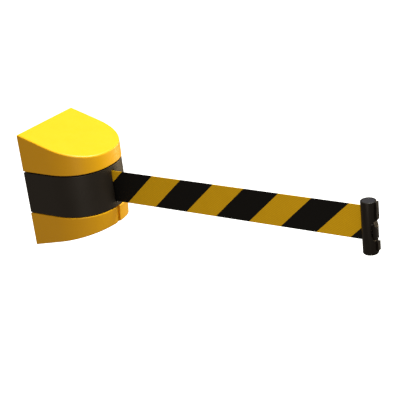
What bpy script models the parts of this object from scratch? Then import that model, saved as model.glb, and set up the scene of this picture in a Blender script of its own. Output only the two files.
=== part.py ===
"""Wall-mounted retractable belt barrier, built as an assembly of separate pieces.

Frame: metres, +Z up. The wall is the plane y = 0, the belt pulls out along -Y, and the
origin is on the wall face at the middle of the belt's width, in the plane of symmetry.
"""

from math import atan2, cos, hypot, pi, radians, sin

import bmesh
import bpy
from mathutils import Matrix, Vector

# ---- driving dimensions (metres) ----
FIT_GAP = 0.0003            # clearance kept between pieces that touch
DISC_STEPS = 36             # sides of drums, flanges and the coil
SHAFT_STEPS = 20            # sides of the shaft and what turns on it
SCREW_STEPS = 10
BELT_WIDTH = 0.050
BELT_THICKNESS = 0.0008

HALF_WIDTH = 0.065          # casing, half of its width at the wall
SIDE_LENGTH = 0.050         # straight part of each side, from the wall
NOSE_LENGTH = 0.070         # curved front, beyond the straight sides
NOSE_POWER = 2.25           # 2 would be an ellipse, more is squarer
NOSE_STEPS = 28
CASING_DEPTH = SIDE_LENGTH + NOSE_LENGTH

SHELL_WALL = 0.0025         # yellow covers
CAP_BOTTOM = 0.035
ROOF_HEIGHT = 0.0942        # at the wall
ROOF_SLOPE = 0.30
HOUSING_TOP = -0.0333
FLOOR_HEIGHT = -0.0877      # lower housing's underside at the wall
FLOOR_SLOPE = 0.2375
HOUSING_DRAFT = 0.10        # the lower housing's nose leans back, per unit of depth

BAND_INSET = 0.0005         # black cassette, inside the covers' outline
BAND_WALL = 0.003
BAND_BOTTOM = -0.0325
BAND_TOP = 0.033
CASSETTE_FLOOR = -0.0298
LID_BOTTOM = 0.0307
LID_TOP = 0.0347
POST_TOP = LID_BOTTOM - FIT_GAP
SLOT_HALF_WIDTH = 0.0026     # where the belt leaves the cassette
SLOT_HALF_HEIGHT = 0.026
SLOT_START = -0.110

PLATE_THICKNESS = 0.0025
PLATE_HALF_WIDTH = 0.0612
PLATE_LOW = -0.084
PLATE_HIGH = 0.090
BACK_FACE = -PLATE_THICKNESS - FIT_GAP   # where the pieces in front of the plate begin
BACK_WALL = 0.0032
KEYHOLE_RADIUS = 0.0055
KEYHOLE_SLOT = 0.00275
KEYHOLE_RISE = 0.010
KEYHOLES = [(-0.035, 0.058), (0.035, 0.058), (-0.035, -0.066), (0.035, -0.066)]
COVER_BOSS_X = 0.052        # screw bosses of the yellow covers and of the cassette
BAND_BOSS_X = 0.048
CAP_BOSS_Z = 0.078
HOUSING_BOSS_Z = -0.050
BOSS_HALF = 0.004
BOSS_DEPTH = 0.015
PLATE_SCREWS = [(-COVER_BOSS_X, CAP_BOSS_Z), (COVER_BOSS_X, CAP_BOSS_Z),
                (-BAND_BOSS_X, 0.0), (BAND_BOSS_X, 0.0),
                (-COVER_BOSS_X, HOUSING_BOSS_Z), (COVER_BOSS_X, HOUSING_BOSS_Z)]
PLATE_SCREW_HEAD = 0.0037
PLATE_SCREW_SHANK = 0.0017
PLATE_SCREW_LENGTH = 0.0135
SINK_RADIUS = 0.0051        # the countersink at the plate's face, and the hole beyond it
SINK_HOLE = 0.0023
BOSS_HOLE = 0.0021
LID_POSTS = [(-0.0565, -0.0115), (0.0565, -0.0115), (-0.043, -0.0965), (0.043, -0.0965)]
POST_RADIUS = 0.0038
CLEARANCE_HOLE = 0.0018     # round the shanks of the small pan-headed screws
PAN_HEAD = 0.0028

REEL_Y = -0.056
SHAFT_RADIUS = 0.004
SHAFT_LOW = -0.042
SHAFT_HIGH = 0.057
BORE_RADIUS = SHAFT_RADIUS + FIT_GAP
BUSH_RADIUS = 0.006
BUSH_FLANGE = 0.009
BUSH_LEVELS = {              # low end, high end, and the flange's two faces
    "lower_bush": (-0.0332, -0.0295, -0.0295, -0.0282),
    "upper_bush": (0.0304, 0.0345, 0.0290, 0.0304),
}
RETAINER_RADIUS = 0.0075
RETAINER_THICKNESS = 0.0008
RETAINER_LOWER = -0.0394
RETAINER_UPPER = 0.0556
HUB_RADIUS = 0.012
COIL_RADIUS = 0.038
FLANGE_RADIUS = 0.041
FLANGE_THICKNESS = 0.002

ROLLER_X = 0.0049
ROLLER_Y = -0.110
ROLLER_RADIUS = 0.004
ROLLER_HALF_LENGTH = 0.0265
PIN_RADIUS = 0.0015         # guide pins and brake pins
PIN_HEAD_RADIUS = 0.0026
PIN_HEAD_HEIGHT = 0.0007

DRUM_BOTTOM = LID_TOP + FIT_GAP
DRUM_RADIUS = 0.0415
DRUM_FLANGE = 0.049
DRUM_FLOOR = 0.0024         # thickness of its floor, and of its wall
DRUM_WALL = 0.002
DRUM_BORE = 0.0085
DRUM_TOP = 0.053
DRUM_SCREW_RADIUS = 0.045
DRUM_SCREW_ANGLES = (95, 215, 335)
DRUM_SCREWS = [(DRUM_SCREW_RADIUS * cos(radians(a)), REEL_Y + DRUM_SCREW_RADIUS * sin(radians(a)))
               for a in DRUM_SCREW_ANGLES]
COVER_THICKNESS = 0.0019
SPRING_LOW = 0.038
SPRING_HIGH = 0.050
SPRING_THICKNESS = 0.0008
SPRING_TURNS = 5
SPRING_STEPS = 18           # points to a turn
ARBOR_RADIUS = 0.0098

BRAKE_TOP = BAND_BOTTOM - FIT_GAP
BRAKE_FLANGE = 0.038
BRAKE_OUTER = 0.0305
BRAKE_INNER = 0.0285
BRAKE_BOTTOM = -0.050
BRAKE_WEB = 0.002
BRAKE_SCREW_X = 0.034
CARRIER_RADII = (0.025, 0.009)           # along X and Y
CARRIER_LOW = -0.0383
CARRIER_HIGH = -0.0363
SHOE_PIVOT = 0.020
SHOE_INNER = 0.015
SHOE_OUTER = 0.0245
SHOE_LOW = -0.0475
SHOE_HIGH = -0.0386
SHOE_ANGLES = (-12, 150)                 # from the shoe's pivot, in degrees
LINING_ANGLES = (30, 145)
LINING_OUTER = 0.0268

GROOVE_DEPTH = 0.0032
GROOVE_MOUTH = 0.0035
GROOVE_BACK = 0.0052
GROOVE_LEVELS = (-0.075, -0.020)         # the tool's ends, below and above the nose
GROOVE_BLOCK_HALF = 0.010                # solid plastic left round the groove
GROOVE_BLOCK_BACK = -0.1095

CLIP_Y = -0.536
CLIP_RADIUS = 0.0107
CLIP_LOW = -0.0426
CLIP_HIGH = 0.0328
CLIP_RIM = 0.0092           # pocket for the plug in the clip's top
CLIP_POCKET = 0.002
PLUG_RADIUS = 0.0089
BELT_PIN_Y = CLIP_Y + 0.002
BELT_PIN_RADIUS = 0.0026
BELT_PIN_HALF_LENGTH = 0.027
BELT_PIN_BORE = 0.0033
CLIP_SLOT_HALF_WIDTH = 0.0012            # where the belt enters the clip
CLIP_SLOT_HALF_HEIGHT = 0.0262
SCOOP_Z = -0.0085
SCOOP_RADII = (0.0075, 0.0155)           # along Y and Z
SCOOP_DEEPEST = CLIP_Y - 0.0052
POCKET_BACK = CLIP_Y - 0.0023            # the lever's pocket, behind the scoop
POCKET_LEVELS = (-0.0212, 0.0050)
LEVER_PIVOT = (CLIP_Y - 0.0069, 0.0020)  # y and z of the lever's pin
LEVER_HALF_WIDTH = 0.0055
LEVER_TRIM = 0.0119
LEVER_PIN = 0.0006
LEVER_PIN_HALF_LENGTH = 0.0078
CATCH_SPRING_Z = -0.0135                 # the small coil spring behind the lever
CATCH_SPRING_RADIUS = 0.0018
CATCH_SPRING_WIRE = 0.0003
CATCH_SPRING_TURNS = 3
RAIL_UPPER = (0.0075, 0.0322)            # two lengths of rail, above and below the lever
RAIL_LOWER = (-0.0370, -0.0240)
RAIL_NECK = 0.0028
RAIL_FACE = 0.0042
RAIL_PROUD = 0.0022

RUN_PAST = 0.01             # cutting tools run at least this far past what they cut

YELLOW = (0.90, 0.52, 0.02)
BLACK = (0.018, 0.016, 0.014)
STEEL = (0.55, 0.56, 0.58)


# ---- helpers ----
def material(name, colour, roughness, metallic=0.0):
    made = bpy.data.materials.new(name)
    made.use_nodes = True
    shader = made.node_tree.nodes["Principled BSDF"]
    shader.inputs["Base Color"].default_value = (*colour, 1.0)
    shader.inputs["Roughness"].default_value = roughness
    shader.inputs["Metallic"].default_value = metallic
    made.diffuse_color = (*colour, 1.0)
    return made


def add_object(name, bm, finish=None, smooth=False):
    """Makes an object of a bmesh whose points are already in place."""
    bmesh.ops.recalc_face_normals(bm, faces=bm.faces)
    mesh = bpy.data.meshes.new(name)
    bm.to_mesh(mesh)
    bm.free()
    if smooth:
        mesh.shade_smooth()
        mesh.set_sharp_from_angle(angle=radians(35))
    made = bpy.data.objects.new(name, mesh)
    bpy.context.scene.collection.objects.link(made)
    if finish:
        mesh.materials.append(finish)
    return made


def place_origin(thing, origin):
    """Moves an object's origin onto its joint's axis and leaves its shape where it is."""
    thing.data.transform(Matrix.Translation(-Vector(origin)))
    thing.location = origin
    return thing


def loft(low_ring, high_ring):
    """A closed solid between two rings of the same number of points."""
    bm = bmesh.new()
    low = [bm.verts.new(point) for point in low_ring]
    high = [bm.verts.new(point) for point in high_ring]
    bm.faces.new(low)
    bm.faces.new(high)
    for i in range(len(low)):
        j = (i + 1) % len(low)
        bm.faces.new((low[i], low[j], high[j], high[i]))
    return bm


def prism(outline, low, high):
    return loft([(x, y, low) for x, y in outline], [(x, y, high) for x, y in outline])


def box(low, high):
    (x0, y0, z0), (x1, y1, z1) = low, high
    return prism([(x0, y0), (x1, y0), (x1, y1), (x0, y1)], z0, z1)


def turned(profile, steps=32, centre=(0.0, 0.0)):
    """A solid of revolution about a vertical axis; the profile is (radius, height) points."""
    bm = bmesh.new()
    rings = []
    for radius, height in profile:
        count = 1 if radius == 0 else steps
        rings.append([
            bm.verts.new((
                centre[0] + radius * cos(2 * pi * i / steps),
                centre[1] + radius * sin(2 * pi * i / steps),
                height,
            ))
            for i in range(count)
        ])
    for lower, upper in zip(rings, rings[1:] + rings[:1]):
        if len(lower) == len(upper) == 1:
            continue
        for i in range(steps):
            j = (i + 1) % steps
            corners = [lower[i % len(lower)], lower[j % len(lower)],
                       upper[j % len(upper)], upper[i % len(upper)]]
            bm.faces.new(list(dict.fromkeys(corners)))
    return bm


def tube(inner, outer, low, high, steps=32, centre=(0.0, 0.0)):
    return turned([(inner, low), (outer, low), (outer, high), (inner, high)], steps, centre)


def rod(radius, low, high, steps=16, centre=(0.0, 0.0), chamfer=0.0):
    ends = [(0, low), (radius - chamfer, low)]
    if chamfer:
        ends += [(radius, low + chamfer), (radius, high - chamfer)]
    return turned(ends + [(radius - chamfer, high), (0, high)], steps, centre)


def lay_along_y(bm, x, z):
    """Turns a shape made about the vertical axis so that its up points along -Y."""
    turn = Matrix.Rotation(radians(90), 4, "X")
    bmesh.ops.transform(bm, matrix=Matrix.Translation((x, 0, z)) @ turn, verts=bm.verts)
    return bm


def arc(centre, radius, start, end, steps):
    """Points on a circle, from one angle to another in degrees."""
    angles = [radians(start + (end - start) * i / steps) for i in range(steps + 1)]
    return [(centre[0] + radius * cos(a), centre[1] + radius * sin(a)) for a in angles]


def boolean(target, bm, operation="DIFFERENCE", name="tool"):
    """Cuts, joins or trims an object with a hidden tool, which the model doesn't show."""
    tool = add_object(f"{name}_for_{target.name}", bm)
    tool.hide_render = True
    tool.display_type = "WIRE"
    change = target.modifiers.new(operation.lower(), "BOOLEAN")
    change.operation = operation
    change.solver = "EXACT"
    change.object = tool
    return tool


def plan_outline(inset=0.0, back=0.0):
    """The casing seen from above: straight sides and a superelliptic nose."""
    half_width = HALF_WIDTH - inset
    nose = NOSE_LENGTH - inset
    points = [(-half_width, back)]
    for i in range(NOSE_STEPS + 1):
        angle = pi - pi * i / NOSE_STEPS
        across = abs(cos(angle)) ** (2 / NOSE_POWER) * (1 if cos(angle) > 0 else -1)
        along = sin(angle) ** (2 / NOSE_POWER) if 0 < i < NOSE_STEPS else 0.0
        points.append((half_width * across, -SIDE_LENGTH - nose * along))
    return points + [(half_width, back)]


# ---- casing: plate, covers and cassette ----
def keyhole(x, z):
    """A round hole for a screw's head with a narrow slot above it for its shank."""
    meet = atan2(KEYHOLE_SLOT, (KEYHOLE_RADIUS**2 - KEYHOLE_SLOT**2) ** 0.5) * 180 / pi
    outline = arc((0, KEYHOLE_RISE), KEYHOLE_SLOT, 0, 180, 6)
    outline += arc((0, 0), KEYHOLE_RADIUS, 90 + meet, 450 - meet, 14)
    bm = prism(outline, -0.01, 0.01)
    return lay_along_y(bm, x, z)


def countersunk_screw(head_radius, shank_radius, length):
    """A flat-headed screw along the vertical axis, head face at 0 and point upwards."""
    drive = 0.0013
    return turned([(0, drive), (drive, drive), (drive, 0), (head_radius, 0),
                   (shank_radius, head_radius - shank_radius), (shank_radius, length - 0.001),
                   (0, length)], SCREW_STEPS)


def pan_screw(head_radius, shank_radius, length):
    """A pan-headed screw along the vertical axis, its head above 0 and its point down."""
    head = 0.0019
    drive = 0.0012
    return turned([(0, -length), (shank_radius, -length + 0.001), (shank_radius, 0),
                   (head_radius, 0), (head_radius, head * 0.6), (head_radius * 0.75, head),
                   (drive, head), (drive, head * 0.4), (0, head * 0.4)], SCREW_STEPS)


def wall_plate(finish):
    plate = add_object("wall_plate", box((-PLATE_HALF_WIDTH, -PLATE_THICKNESS, PLATE_LOW),
                                         (PLATE_HALF_WIDTH, 0, PLATE_HIGH)), finish)
    for x, z in KEYHOLES:
        boolean(plate, keyhole(x, z), name="keyhole")
    for x, z in PLATE_SCREWS:
        sink = turned([(0, -0.001), (SINK_RADIUS, -0.001), (SINK_HOLE, 0.0018),
                       (SINK_HOLE, 0.01), (0, 0.01)], SCREW_STEPS)
        boolean(plate, lay_along_y(sink, x, z), name="countersink")


def plate_screws(finish):
    for number, (x, z) in enumerate(PLATE_SCREWS, 1):
        screw = countersunk_screw(PLATE_SCREW_HEAD, PLATE_SCREW_SHANK, PLATE_SCREW_LENGTH)
        bm = lay_along_y(screw, x, z)
        bmesh.ops.translate(bm, vec=(0, -FIT_GAP, 0), verts=bm.verts)
        add_object(f"plate_screw_{number}", bm, finish, smooth=True)


def screw_boss(side, x, z, outer):
    """A block that joins a side wall and takes a screw through the plate."""
    xs = sorted((side * (x - BOSS_HALF), side * outer))
    return box((xs[0], BACK_FACE - BOSS_DEPTH, z - BOSS_HALF), (xs[1], BACK_FACE, z + BOSS_HALF))


def screw_hole(x, z):
    return lay_along_y(rod(BOSS_HOLE, -0.002, BOSS_DEPTH + 0.0005, SCREW_STEPS), x, z)


def cover_with_bosses(name, outer, hollow, height, finish):
    """An open-backed cover: its hollow is cut out around two screw bosses."""
    cover = add_object(name, outer, finish)
    tool = boolean(cover, hollow, name="hollow")
    for side in (-1, 1):
        boss = screw_boss(side, COVER_BOSS_X, height, HALF_WIDTH + 0.005)
        boolean(tool, boss, name=f"boss_{side + 1}")
        boolean(cover, screw_hole(side * COVER_BOSS_X, height), name="hole")
    return cover, tool


def roof_height(y, wall=0.0):
    return ROOF_HEIGHT - wall + ROOF_SLOPE * y


def top_cap(finish):
    outline = plan_outline()
    inside = plan_outline(SHELL_WALL, back=RUN_PAST)
    outer = loft([(x, y, CAP_BOTTOM) for x, y in outline],
                 [(x, y, roof_height(y)) for x, y in outline])
    hollow = loft([(x, y, CAP_BOTTOM - RUN_PAST) for x, y in inside],
                  [(x, y, roof_height(y, SHELL_WALL)) for x, y in inside])
    cover_with_bosses("top_cap", outer, hollow, CAP_BOSS_Z, finish)


def housing_ring(outline, wall=0.0):
    """The lower housing's sloped underside, set back by the draft of its nose."""
    ring = []
    for x, y in outline:
        lean = HOUSING_DRAFT * max(-y, 0) / CASING_DEPTH
        deep = HOUSING_TOP - FLOOR_HEIGHT - wall
        new_y = -(-y - lean * deep) / (1 - lean * FLOOR_SLOPE) if y < 0 else y
        ring.append((x, new_y, FLOOR_HEIGHT + wall - FLOOR_SLOPE * new_y))
    return ring


def receiver_groove():
    """A dovetail groove down the nose, which takes the rail of another barrier's clip."""
    def outline(front, y_shift):
        back = -CASING_DEPTH + GROOVE_DEPTH + y_shift
        return [(-GROOVE_MOUTH, front), (-GROOVE_MOUTH, -CASING_DEPTH + y_shift),
                (-GROOVE_BACK, back), (GROOVE_BACK, back),
                (GROOVE_MOUTH, -CASING_DEPTH + y_shift), (GROOVE_MOUTH, front)]

    below, above = GROOVE_LEVELS
    front = -CASING_DEPTH - RUN_PAST
    low_shift = HOUSING_DRAFT * (HOUSING_TOP - below)
    high_shift = HOUSING_DRAFT * (HOUSING_TOP - above)
    return loft([(x, y, below) for x, y in outline(front, low_shift)],
                [(x, y, above) for x, y in outline(front, high_shift)])


def lower_housing(finish):
    outline = plan_outline()
    inside = plan_outline(SHELL_WALL, back=RUN_PAST)
    outer = loft(housing_ring(outline), [(x, y, HOUSING_TOP) for x, y in outline])
    hollow = loft(housing_ring(inside, SHELL_WALL), [(x, y, HOUSING_TOP) for x, y in inside])
    housing, tool = cover_with_bosses("lower_housing", outer, hollow, HOUSING_BOSS_Z, finish)
    # the hollow's own top is raised clear of the rim, so that the rim is cut right through
    for vertex in tool.data.vertices:
        if abs(vertex.co.z - HOUSING_TOP) < 1e-6:
            vertex.co.z += 0.005
    block = box((-GROOVE_BLOCK_HALF, -CASING_DEPTH - RUN_PAST, FLOOR_HEIGHT - RUN_PAST),
                (GROOVE_BLOCK_HALF, GROOVE_BLOCK_BACK, 0.0))
    boolean(tool, block, name="groove_block")
    boolean(housing, receiver_groove(), name="groove")


def cassette_body(finish):
    """The black cassette: a curved wall, a floor, a back wall and four screw posts."""
    body = add_object("cassette_body", prism(plan_outline(BAND_INSET), BAND_BOTTOM, BAND_TOP),
                      finish)
    inside = plan_outline(BAND_INSET + BAND_WALL, back=BACK_FACE - BACK_WALL)
    hollow = boolean(body, prism(inside, CASSETTE_FLOOR, BAND_TOP + RUN_PAST), name="hollow")
    for x, y in LID_POSTS:
        boolean(hollow, rod(POST_RADIUS, -0.05, POST_TOP, 14, (x, y)), name="post")
        boolean(body, rod(CLEARANCE_HOLE, 0.018, 0.05, SCREW_STEPS, (x, y)), name="post_hole")
    for side in (-1, 1):
        boss = screw_boss(side, BAND_BOSS_X, 0.0, BAND_BOSS_X + BOSS_HALF)
        boolean(hollow, boss, name="plate_boss")
        boolean(body, screw_hole(side * BAND_BOSS_X, 0.0), name="plate_hole")
    side_face = PLATE_HALF_WIDTH + FIT_GAP
    boolean(body, box((-side_face, BACK_FACE, -0.05), (side_face, 0.01, 0.05)), name="back")
    boolean(body, rod(BUSH_RADIUS + FIT_GAP, -0.05, 0, SHAFT_STEPS, (0, REEL_Y)), name="bush_hole")
    boolean(body, box((-SLOT_HALF_WIDTH, -CASING_DEPTH - RUN_PAST, -SLOT_HALF_HEIGHT),
                      (SLOT_HALF_WIDTH, SLOT_START, SLOT_HALF_HEIGHT)), name="belt_slot")
    for side in (-1, 1):
        hole = rod(CLEARANCE_HOLE, -0.05, 0, SCREW_STEPS, (side * BRAKE_SCREW_X, REEL_Y))
        boolean(body, hole, name="brake_hole")


def cassette_lid(finish):
    inset = BAND_INSET + BAND_WALL + FIT_GAP
    outline = plan_outline(inset, back=BACK_FACE - BACK_WALL - FIT_GAP)
    lid = add_object("cassette_lid", prism(outline, LID_BOTTOM, LID_TOP), finish)
    boolean(lid, rod(BUSH_RADIUS + FIT_GAP, 0, 0.05, SHAFT_STEPS, (0, REEL_Y)), name="bush_hole")
    for x, y in LID_POSTS:
        boolean(lid, rod(CLEARANCE_HOLE, 0, 0.05, SCREW_STEPS, (x, y)), name="screw_hole")
    for x, y in DRUM_SCREWS:
        boolean(lid, rod(CLEARANCE_HOLE, 0, 0.05, SCREW_STEPS, (x, y)), name="drum_hole")


def pan_screws(name, places, base, finish, length, up=True):
    """A row of like screws; those that point up are turned over."""
    for number, (x, y) in enumerate(places, 1):
        bm = pan_screw(PAN_HEAD, CLEARANCE_HOLE - FIT_GAP, length)
        if not up:
            bmesh.ops.rotate(bm, matrix=Matrix.Rotation(pi, 3, "X"), verts=bm.verts)
        bmesh.ops.translate(bm, vec=(x, y, base), verts=bm.verts)
        add_object(f"{name}_{number}", bm, finish, smooth=True)


# ---- reel ----
def bush(name, finish):
    """A flanged sleeve; the flange is at whichever end its levels give."""
    low, high, flange_low, flange_high = BUSH_LEVELS[name]
    inner = SHAFT_RADIUS + 0.00015
    if flange_low < low:
        profile = [(inner, flange_low), (BUSH_FLANGE, flange_low), (BUSH_FLANGE, flange_high),
                   (BUSH_RADIUS, flange_high), (BUSH_RADIUS, high), (inner, high)]
    else:
        profile = [(inner, low), (BUSH_RADIUS, low), (BUSH_RADIUS, flange_low),
                   (BUSH_FLANGE, flange_low), (BUSH_FLANGE, flange_high), (inner, flange_high)]
    add_object(name, turned(profile, SHAFT_STEPS, (0, REEL_Y)), finish, smooth=True)


def on_reel(name, bm, finish):
    place_origin(add_object(name, bm, finish, smooth=True), (0, REEL_Y, 0))


def open_ring(low):
    """A flat retaining clip with a mouth, which snaps onto the shaft."""
    outline = arc((0, REEL_Y), RETAINER_RADIUS, 30, 330, 14)
    outline += arc((0, REEL_Y), BORE_RADIUS, 330, 30, 14)
    return prism(outline, low, low + RETAINER_THICKNESS)


def reel(steel, black, webbing, bronze):
    centre = (0, REEL_Y)
    on_reel("spindle", rod(SHAFT_RADIUS, SHAFT_LOW, SHAFT_HIGH, SHAFT_STEPS, centre, 0.0006), steel)
    half = BELT_WIDTH / 2
    on_reel("spool_hub", tube(BORE_RADIUS, HUB_RADIUS, -half, half, SHAFT_STEPS, centre), black)
    inner_face = half + FIT_GAP
    outer_face = inner_face + FLANGE_THICKNESS
    on_reel("spool_flange_lower",
            tube(BORE_RADIUS, FLANGE_RADIUS, -outer_face, -inner_face, DISC_STEPS, centre), black)
    on_reel("spool_flange_upper",
            tube(BORE_RADIUS, FLANGE_RADIUS, inner_face, outer_face, DISC_STEPS, centre), black)
    on_reel("belt_coil",
            tube(HUB_RADIUS + FIT_GAP, COIL_RADIUS, -half, half, DISC_STEPS, centre), webbing)
    on_reel("spring_arbor",
            tube(BORE_RADIUS, ARBOR_RADIUS, SPRING_LOW - FIT_GAP, SPRING_HIGH + FIT_GAP,
                 SHAFT_STEPS, centre), bronze)
    on_reel("retaining_clip_upper", open_ring(RETAINER_UPPER), steel)
    on_reel("retaining_clip_lower", open_ring(RETAINER_LOWER), steel)


# ---- mainspring ----
def mainspring(finish):
    """A flat coiled spring, fixed in its drum at the outer end."""
    half = SPRING_THICKNESS / 2
    start = ARBOR_RADIUS + half + FIT_GAP
    end = DRUM_RADIUS - DRUM_WALL - half - FIT_GAP
    inner_side, outer_side = [], []
    count = SPRING_TURNS * SPRING_STEPS
    for i in range(count + 1):
        angle = 2 * pi * i / SPRING_STEPS
        radius = start + (end - start) * i / count
        for side, points in ((-half, inner_side), (half, outer_side)):
            points.append(((radius + side) * cos(angle), REEL_Y + (radius + side) * sin(angle)))
    bm = bmesh.new()
    rows = [[bm.verts.new((x, y, z)) for x, y in points]
            for points, z in ((inner_side, SPRING_LOW), (outer_side, SPRING_LOW),
                              (outer_side, SPRING_HIGH), (inner_side, SPRING_HIGH))]
    for here, there in zip(rows, rows[1:] + rows[:1]):
        for i in range(count):
            bm.faces.new((here[i], here[i + 1], there[i + 1], there[i]))
    bm.faces.new([row[0] for row in rows])
    bm.faces.new([row[-1] for row in rows])
    add_object("mainspring", bm, finish, smooth=True)


def spring_drum(finish, cover_finish):
    floor = DRUM_BOTTOM + DRUM_FLOOR
    inner = DRUM_RADIUS - DRUM_WALL
    profile = [(DRUM_BORE, DRUM_BOTTOM), (DRUM_FLANGE, DRUM_BOTTOM), (DRUM_FLANGE, floor),
               (DRUM_RADIUS, floor), (DRUM_RADIUS, DRUM_TOP), (inner, DRUM_TOP),
               (inner, floor), (DRUM_BORE, floor)]
    drum = add_object("spring_drum", turned(profile, DISC_STEPS, (0, REEL_Y)), finish, smooth=True)
    for x, y in DRUM_SCREWS:
        boolean(drum, rod(CLEARANCE_HOLE, 0.03, 0.05, SCREW_STEPS, (x, y)), name="screw_hole")
    low = DRUM_TOP + FIT_GAP
    cover = tube(BORE_RADIUS, DRUM_RADIUS, low, low + COVER_THICKNESS, DISC_STEPS, (0, REEL_Y))
    add_object("spring_cover", cover, cover_finish, smooth=True)


# ---- centrifugal brake ----
def brake_drum(finish):
    web = BRAKE_TOP - BRAKE_WEB
    profile = [(DRUM_BORE, web), (BRAKE_INNER, web), (BRAKE_INNER, BRAKE_BOTTOM),
               (BRAKE_OUTER, BRAKE_BOTTOM), (BRAKE_OUTER, web), (BRAKE_FLANGE, web),
               (BRAKE_FLANGE, BRAKE_TOP), (DRUM_BORE, BRAKE_TOP)]
    drum = add_object("brake_drum", turned(profile, DISC_STEPS, (0, REEL_Y)), finish, smooth=True)
    for side in (-1, 1):
        hole = rod(CLEARANCE_HOLE, -0.04, -0.03, SCREW_STEPS, (side * BRAKE_SCREW_X, REEL_Y))
        boolean(drum, hole, name="screw_hole")


def brake_carrier(finish):
    outline = [(x, REEL_Y + y) for x, y in oval(*CARRIER_RADII, 32)]
    carrier = add_object("brake_carrier", prism(outline, CARRIER_LOW, CARRIER_HIGH), finish)
    place_origin(carrier, (0, REEL_Y, 0))
    boolean(carrier, rod(BORE_RADIUS, -0.05, -0.03, SHAFT_STEPS, (0, REEL_Y)), name="shaft_hole")
    for side in (-1, 1):
        hole = rod(CLEARANCE_HOLE, -0.05, -0.03, 16, (side * SHOE_PIVOT, REEL_Y))
        boolean(carrier, hole, name="pin_hole")


def sector(inner, outer, start, end):
    """Part of a ring round the reel's axis, as tall as a brake shoe."""
    centre = (0, REEL_Y)
    outline = arc(centre, outer, start, end, 16) + arc(centre, inner, end, start, 16)
    return prism(outline, SHOE_LOW, SHOE_HIGH)


def brake_shoes(metal, lining, steel):
    """Two weights that fly out against the drum when the reel turns fast."""
    for number, turn in ((1, 0), (2, 180)):
        pivot = (SHOE_PIVOT * cos(radians(turn)), REEL_Y, 0)
        weight = sector(SHOE_INNER, SHOE_OUTER, *[turn + angle for angle in SHOE_ANGLES])
        shoe = add_object(f"brake_shoe_{number}", weight, metal, smooth=True)
        place_origin(shoe, pivot)
        boolean(shoe, rod(CLEARANCE_HOLE, -0.06, -0.03, 16, pivot[:2]), name="pin_hole")
        pad = sector(SHOE_OUTER + FIT_GAP, LINING_OUTER, *[turn + angle for angle in LINING_ANGLES])
        place_origin(add_object(f"brake_pad_{number}", pad, lining, smooth=True), pivot)
        foot, neck = SHOE_LOW - 0.001, CARRIER_HIGH + FIT_GAP
        head = neck + PIN_HEAD_HEIGHT
        pin = turned([(0, foot), (PIN_RADIUS, foot), (PIN_RADIUS, neck), (PIN_HEAD_RADIUS, neck),
                      (PIN_HEAD_RADIUS, head), (0, head)], 16, pivot[:2])
        on_reel(f"brake_pin_{number}", pin, steel)


# ---- belt guide, belt and clip ----
def guide_rollers(nylon, steel):
    """A pair of rollers behind the slot, where the belt turns from the reel to straight out."""
    for side_name, x in (("left", -ROLLER_X), ("right", ROLLER_X)):
        pin = rod(PIN_RADIUS, CASSETTE_FLOOR + FIT_GAP, POST_TOP, 16, (x, ROLLER_Y))
        add_object(f"guide_pin_{side_name}", pin, steel, smooth=True)
        roller = tube(PIN_RADIUS + FIT_GAP, ROLLER_RADIUS, -ROLLER_HALF_LENGTH,
                      ROLLER_HALF_LENGTH, 24, (x, ROLLER_Y))
        place_origin(add_object(f"guide_roller_{side_name}", roller, nylon, smooth=True),
                     (x, ROLLER_Y, 0))


def ribbon(path):
    """A strip of webbing that stands on edge along a path seen from above."""
    left, right = [], []
    for i, (x, y) in enumerate(path):
        before, after = path[max(i - 1, 0)], path[min(i + 1, len(path) - 1)]
        dx, dy = after[0] - before[0], after[1] - before[1]
        length = hypot(dx, dy)
        off_x, off_y = -dy / length * BELT_THICKNESS / 2, dx / length * BELT_THICKNESS / 2
        left.append((x + off_x, y + off_y))
        right.append((x - off_x, y - off_y))
    bm = bmesh.new()
    half = BELT_WIDTH / 2
    rows = [[bm.verts.new((x, y, z)) for x, y in points]
            for points, z in ((left, -half), (right, -half), (right, half), (left, half))]
    for here, there in zip(rows, rows[1:] + rows[:1]):
        for i in range(len(path) - 1):
            bm.faces.new((here[i], here[i + 1], there[i + 1], there[i]))
    bm.faces.new([row[0] for row in rows])
    bm.faces.new([row[-1] for row in rows])
    return bm


def lead_path():
    """From the slot, round the right roller, to where the belt leaves the coil."""
    coil_line = COIL_RADIUS + BELT_THICKNESS / 2 + FIT_GAP
    run = REEL_Y - ROLLER_Y
    reach = hypot(ROLLER_X, run)
    # the straight stretch touches the circle round the roller and the one round the coil
    share = (coil_line + ROLLER_X) / reach
    turn = atan2(share, (1 - share**2) ** 0.5) - atan2(ROLLER_X, run)
    bend = [(ROLLER_X - ROLLER_X * cos(turn * i / 8), ROLLER_Y + ROLLER_X * sin(turn * i / 8))
            for i in range(9)]
    meet = (coil_line * cos(turn), REEL_Y - coil_line * sin(turn))
    return [(0.0, -CASING_DEPTH - 0.0013)] + bend + [meet]


def belt(finish):
    add_object("belt_lead", ribbon(lead_path()), finish)
    start = -CASING_DEPTH - 0.0013 - FIT_GAP
    end = BELT_PIN_Y + BELT_PIN_RADIUS + FIT_GAP
    add_object("belt_run", ribbon([(0.0, start), (0.0, end)]), finish)


def along_x(outline, half_width):
    """A solid whose outline is in the YZ plane, as wide to each side of x = 0."""
    return loft([(-half_width, y, z) for y, z in outline], [(half_width, y, z) for y, z in outline])


def clip_rail(levels):
    """A length of the dovetail rail that slides into another barrier's groove."""
    face = CLIP_Y - CLIP_RADIUS
    root = face + 0.001
    outline = [(RAIL_NECK, root), (RAIL_NECK, face), (RAIL_FACE, face - RAIL_PROUD),
               (-RAIL_FACE, face - RAIL_PROUD), (-RAIL_NECK, face), (-RAIL_NECK, root)]
    return prism(outline, *levels)


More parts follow.
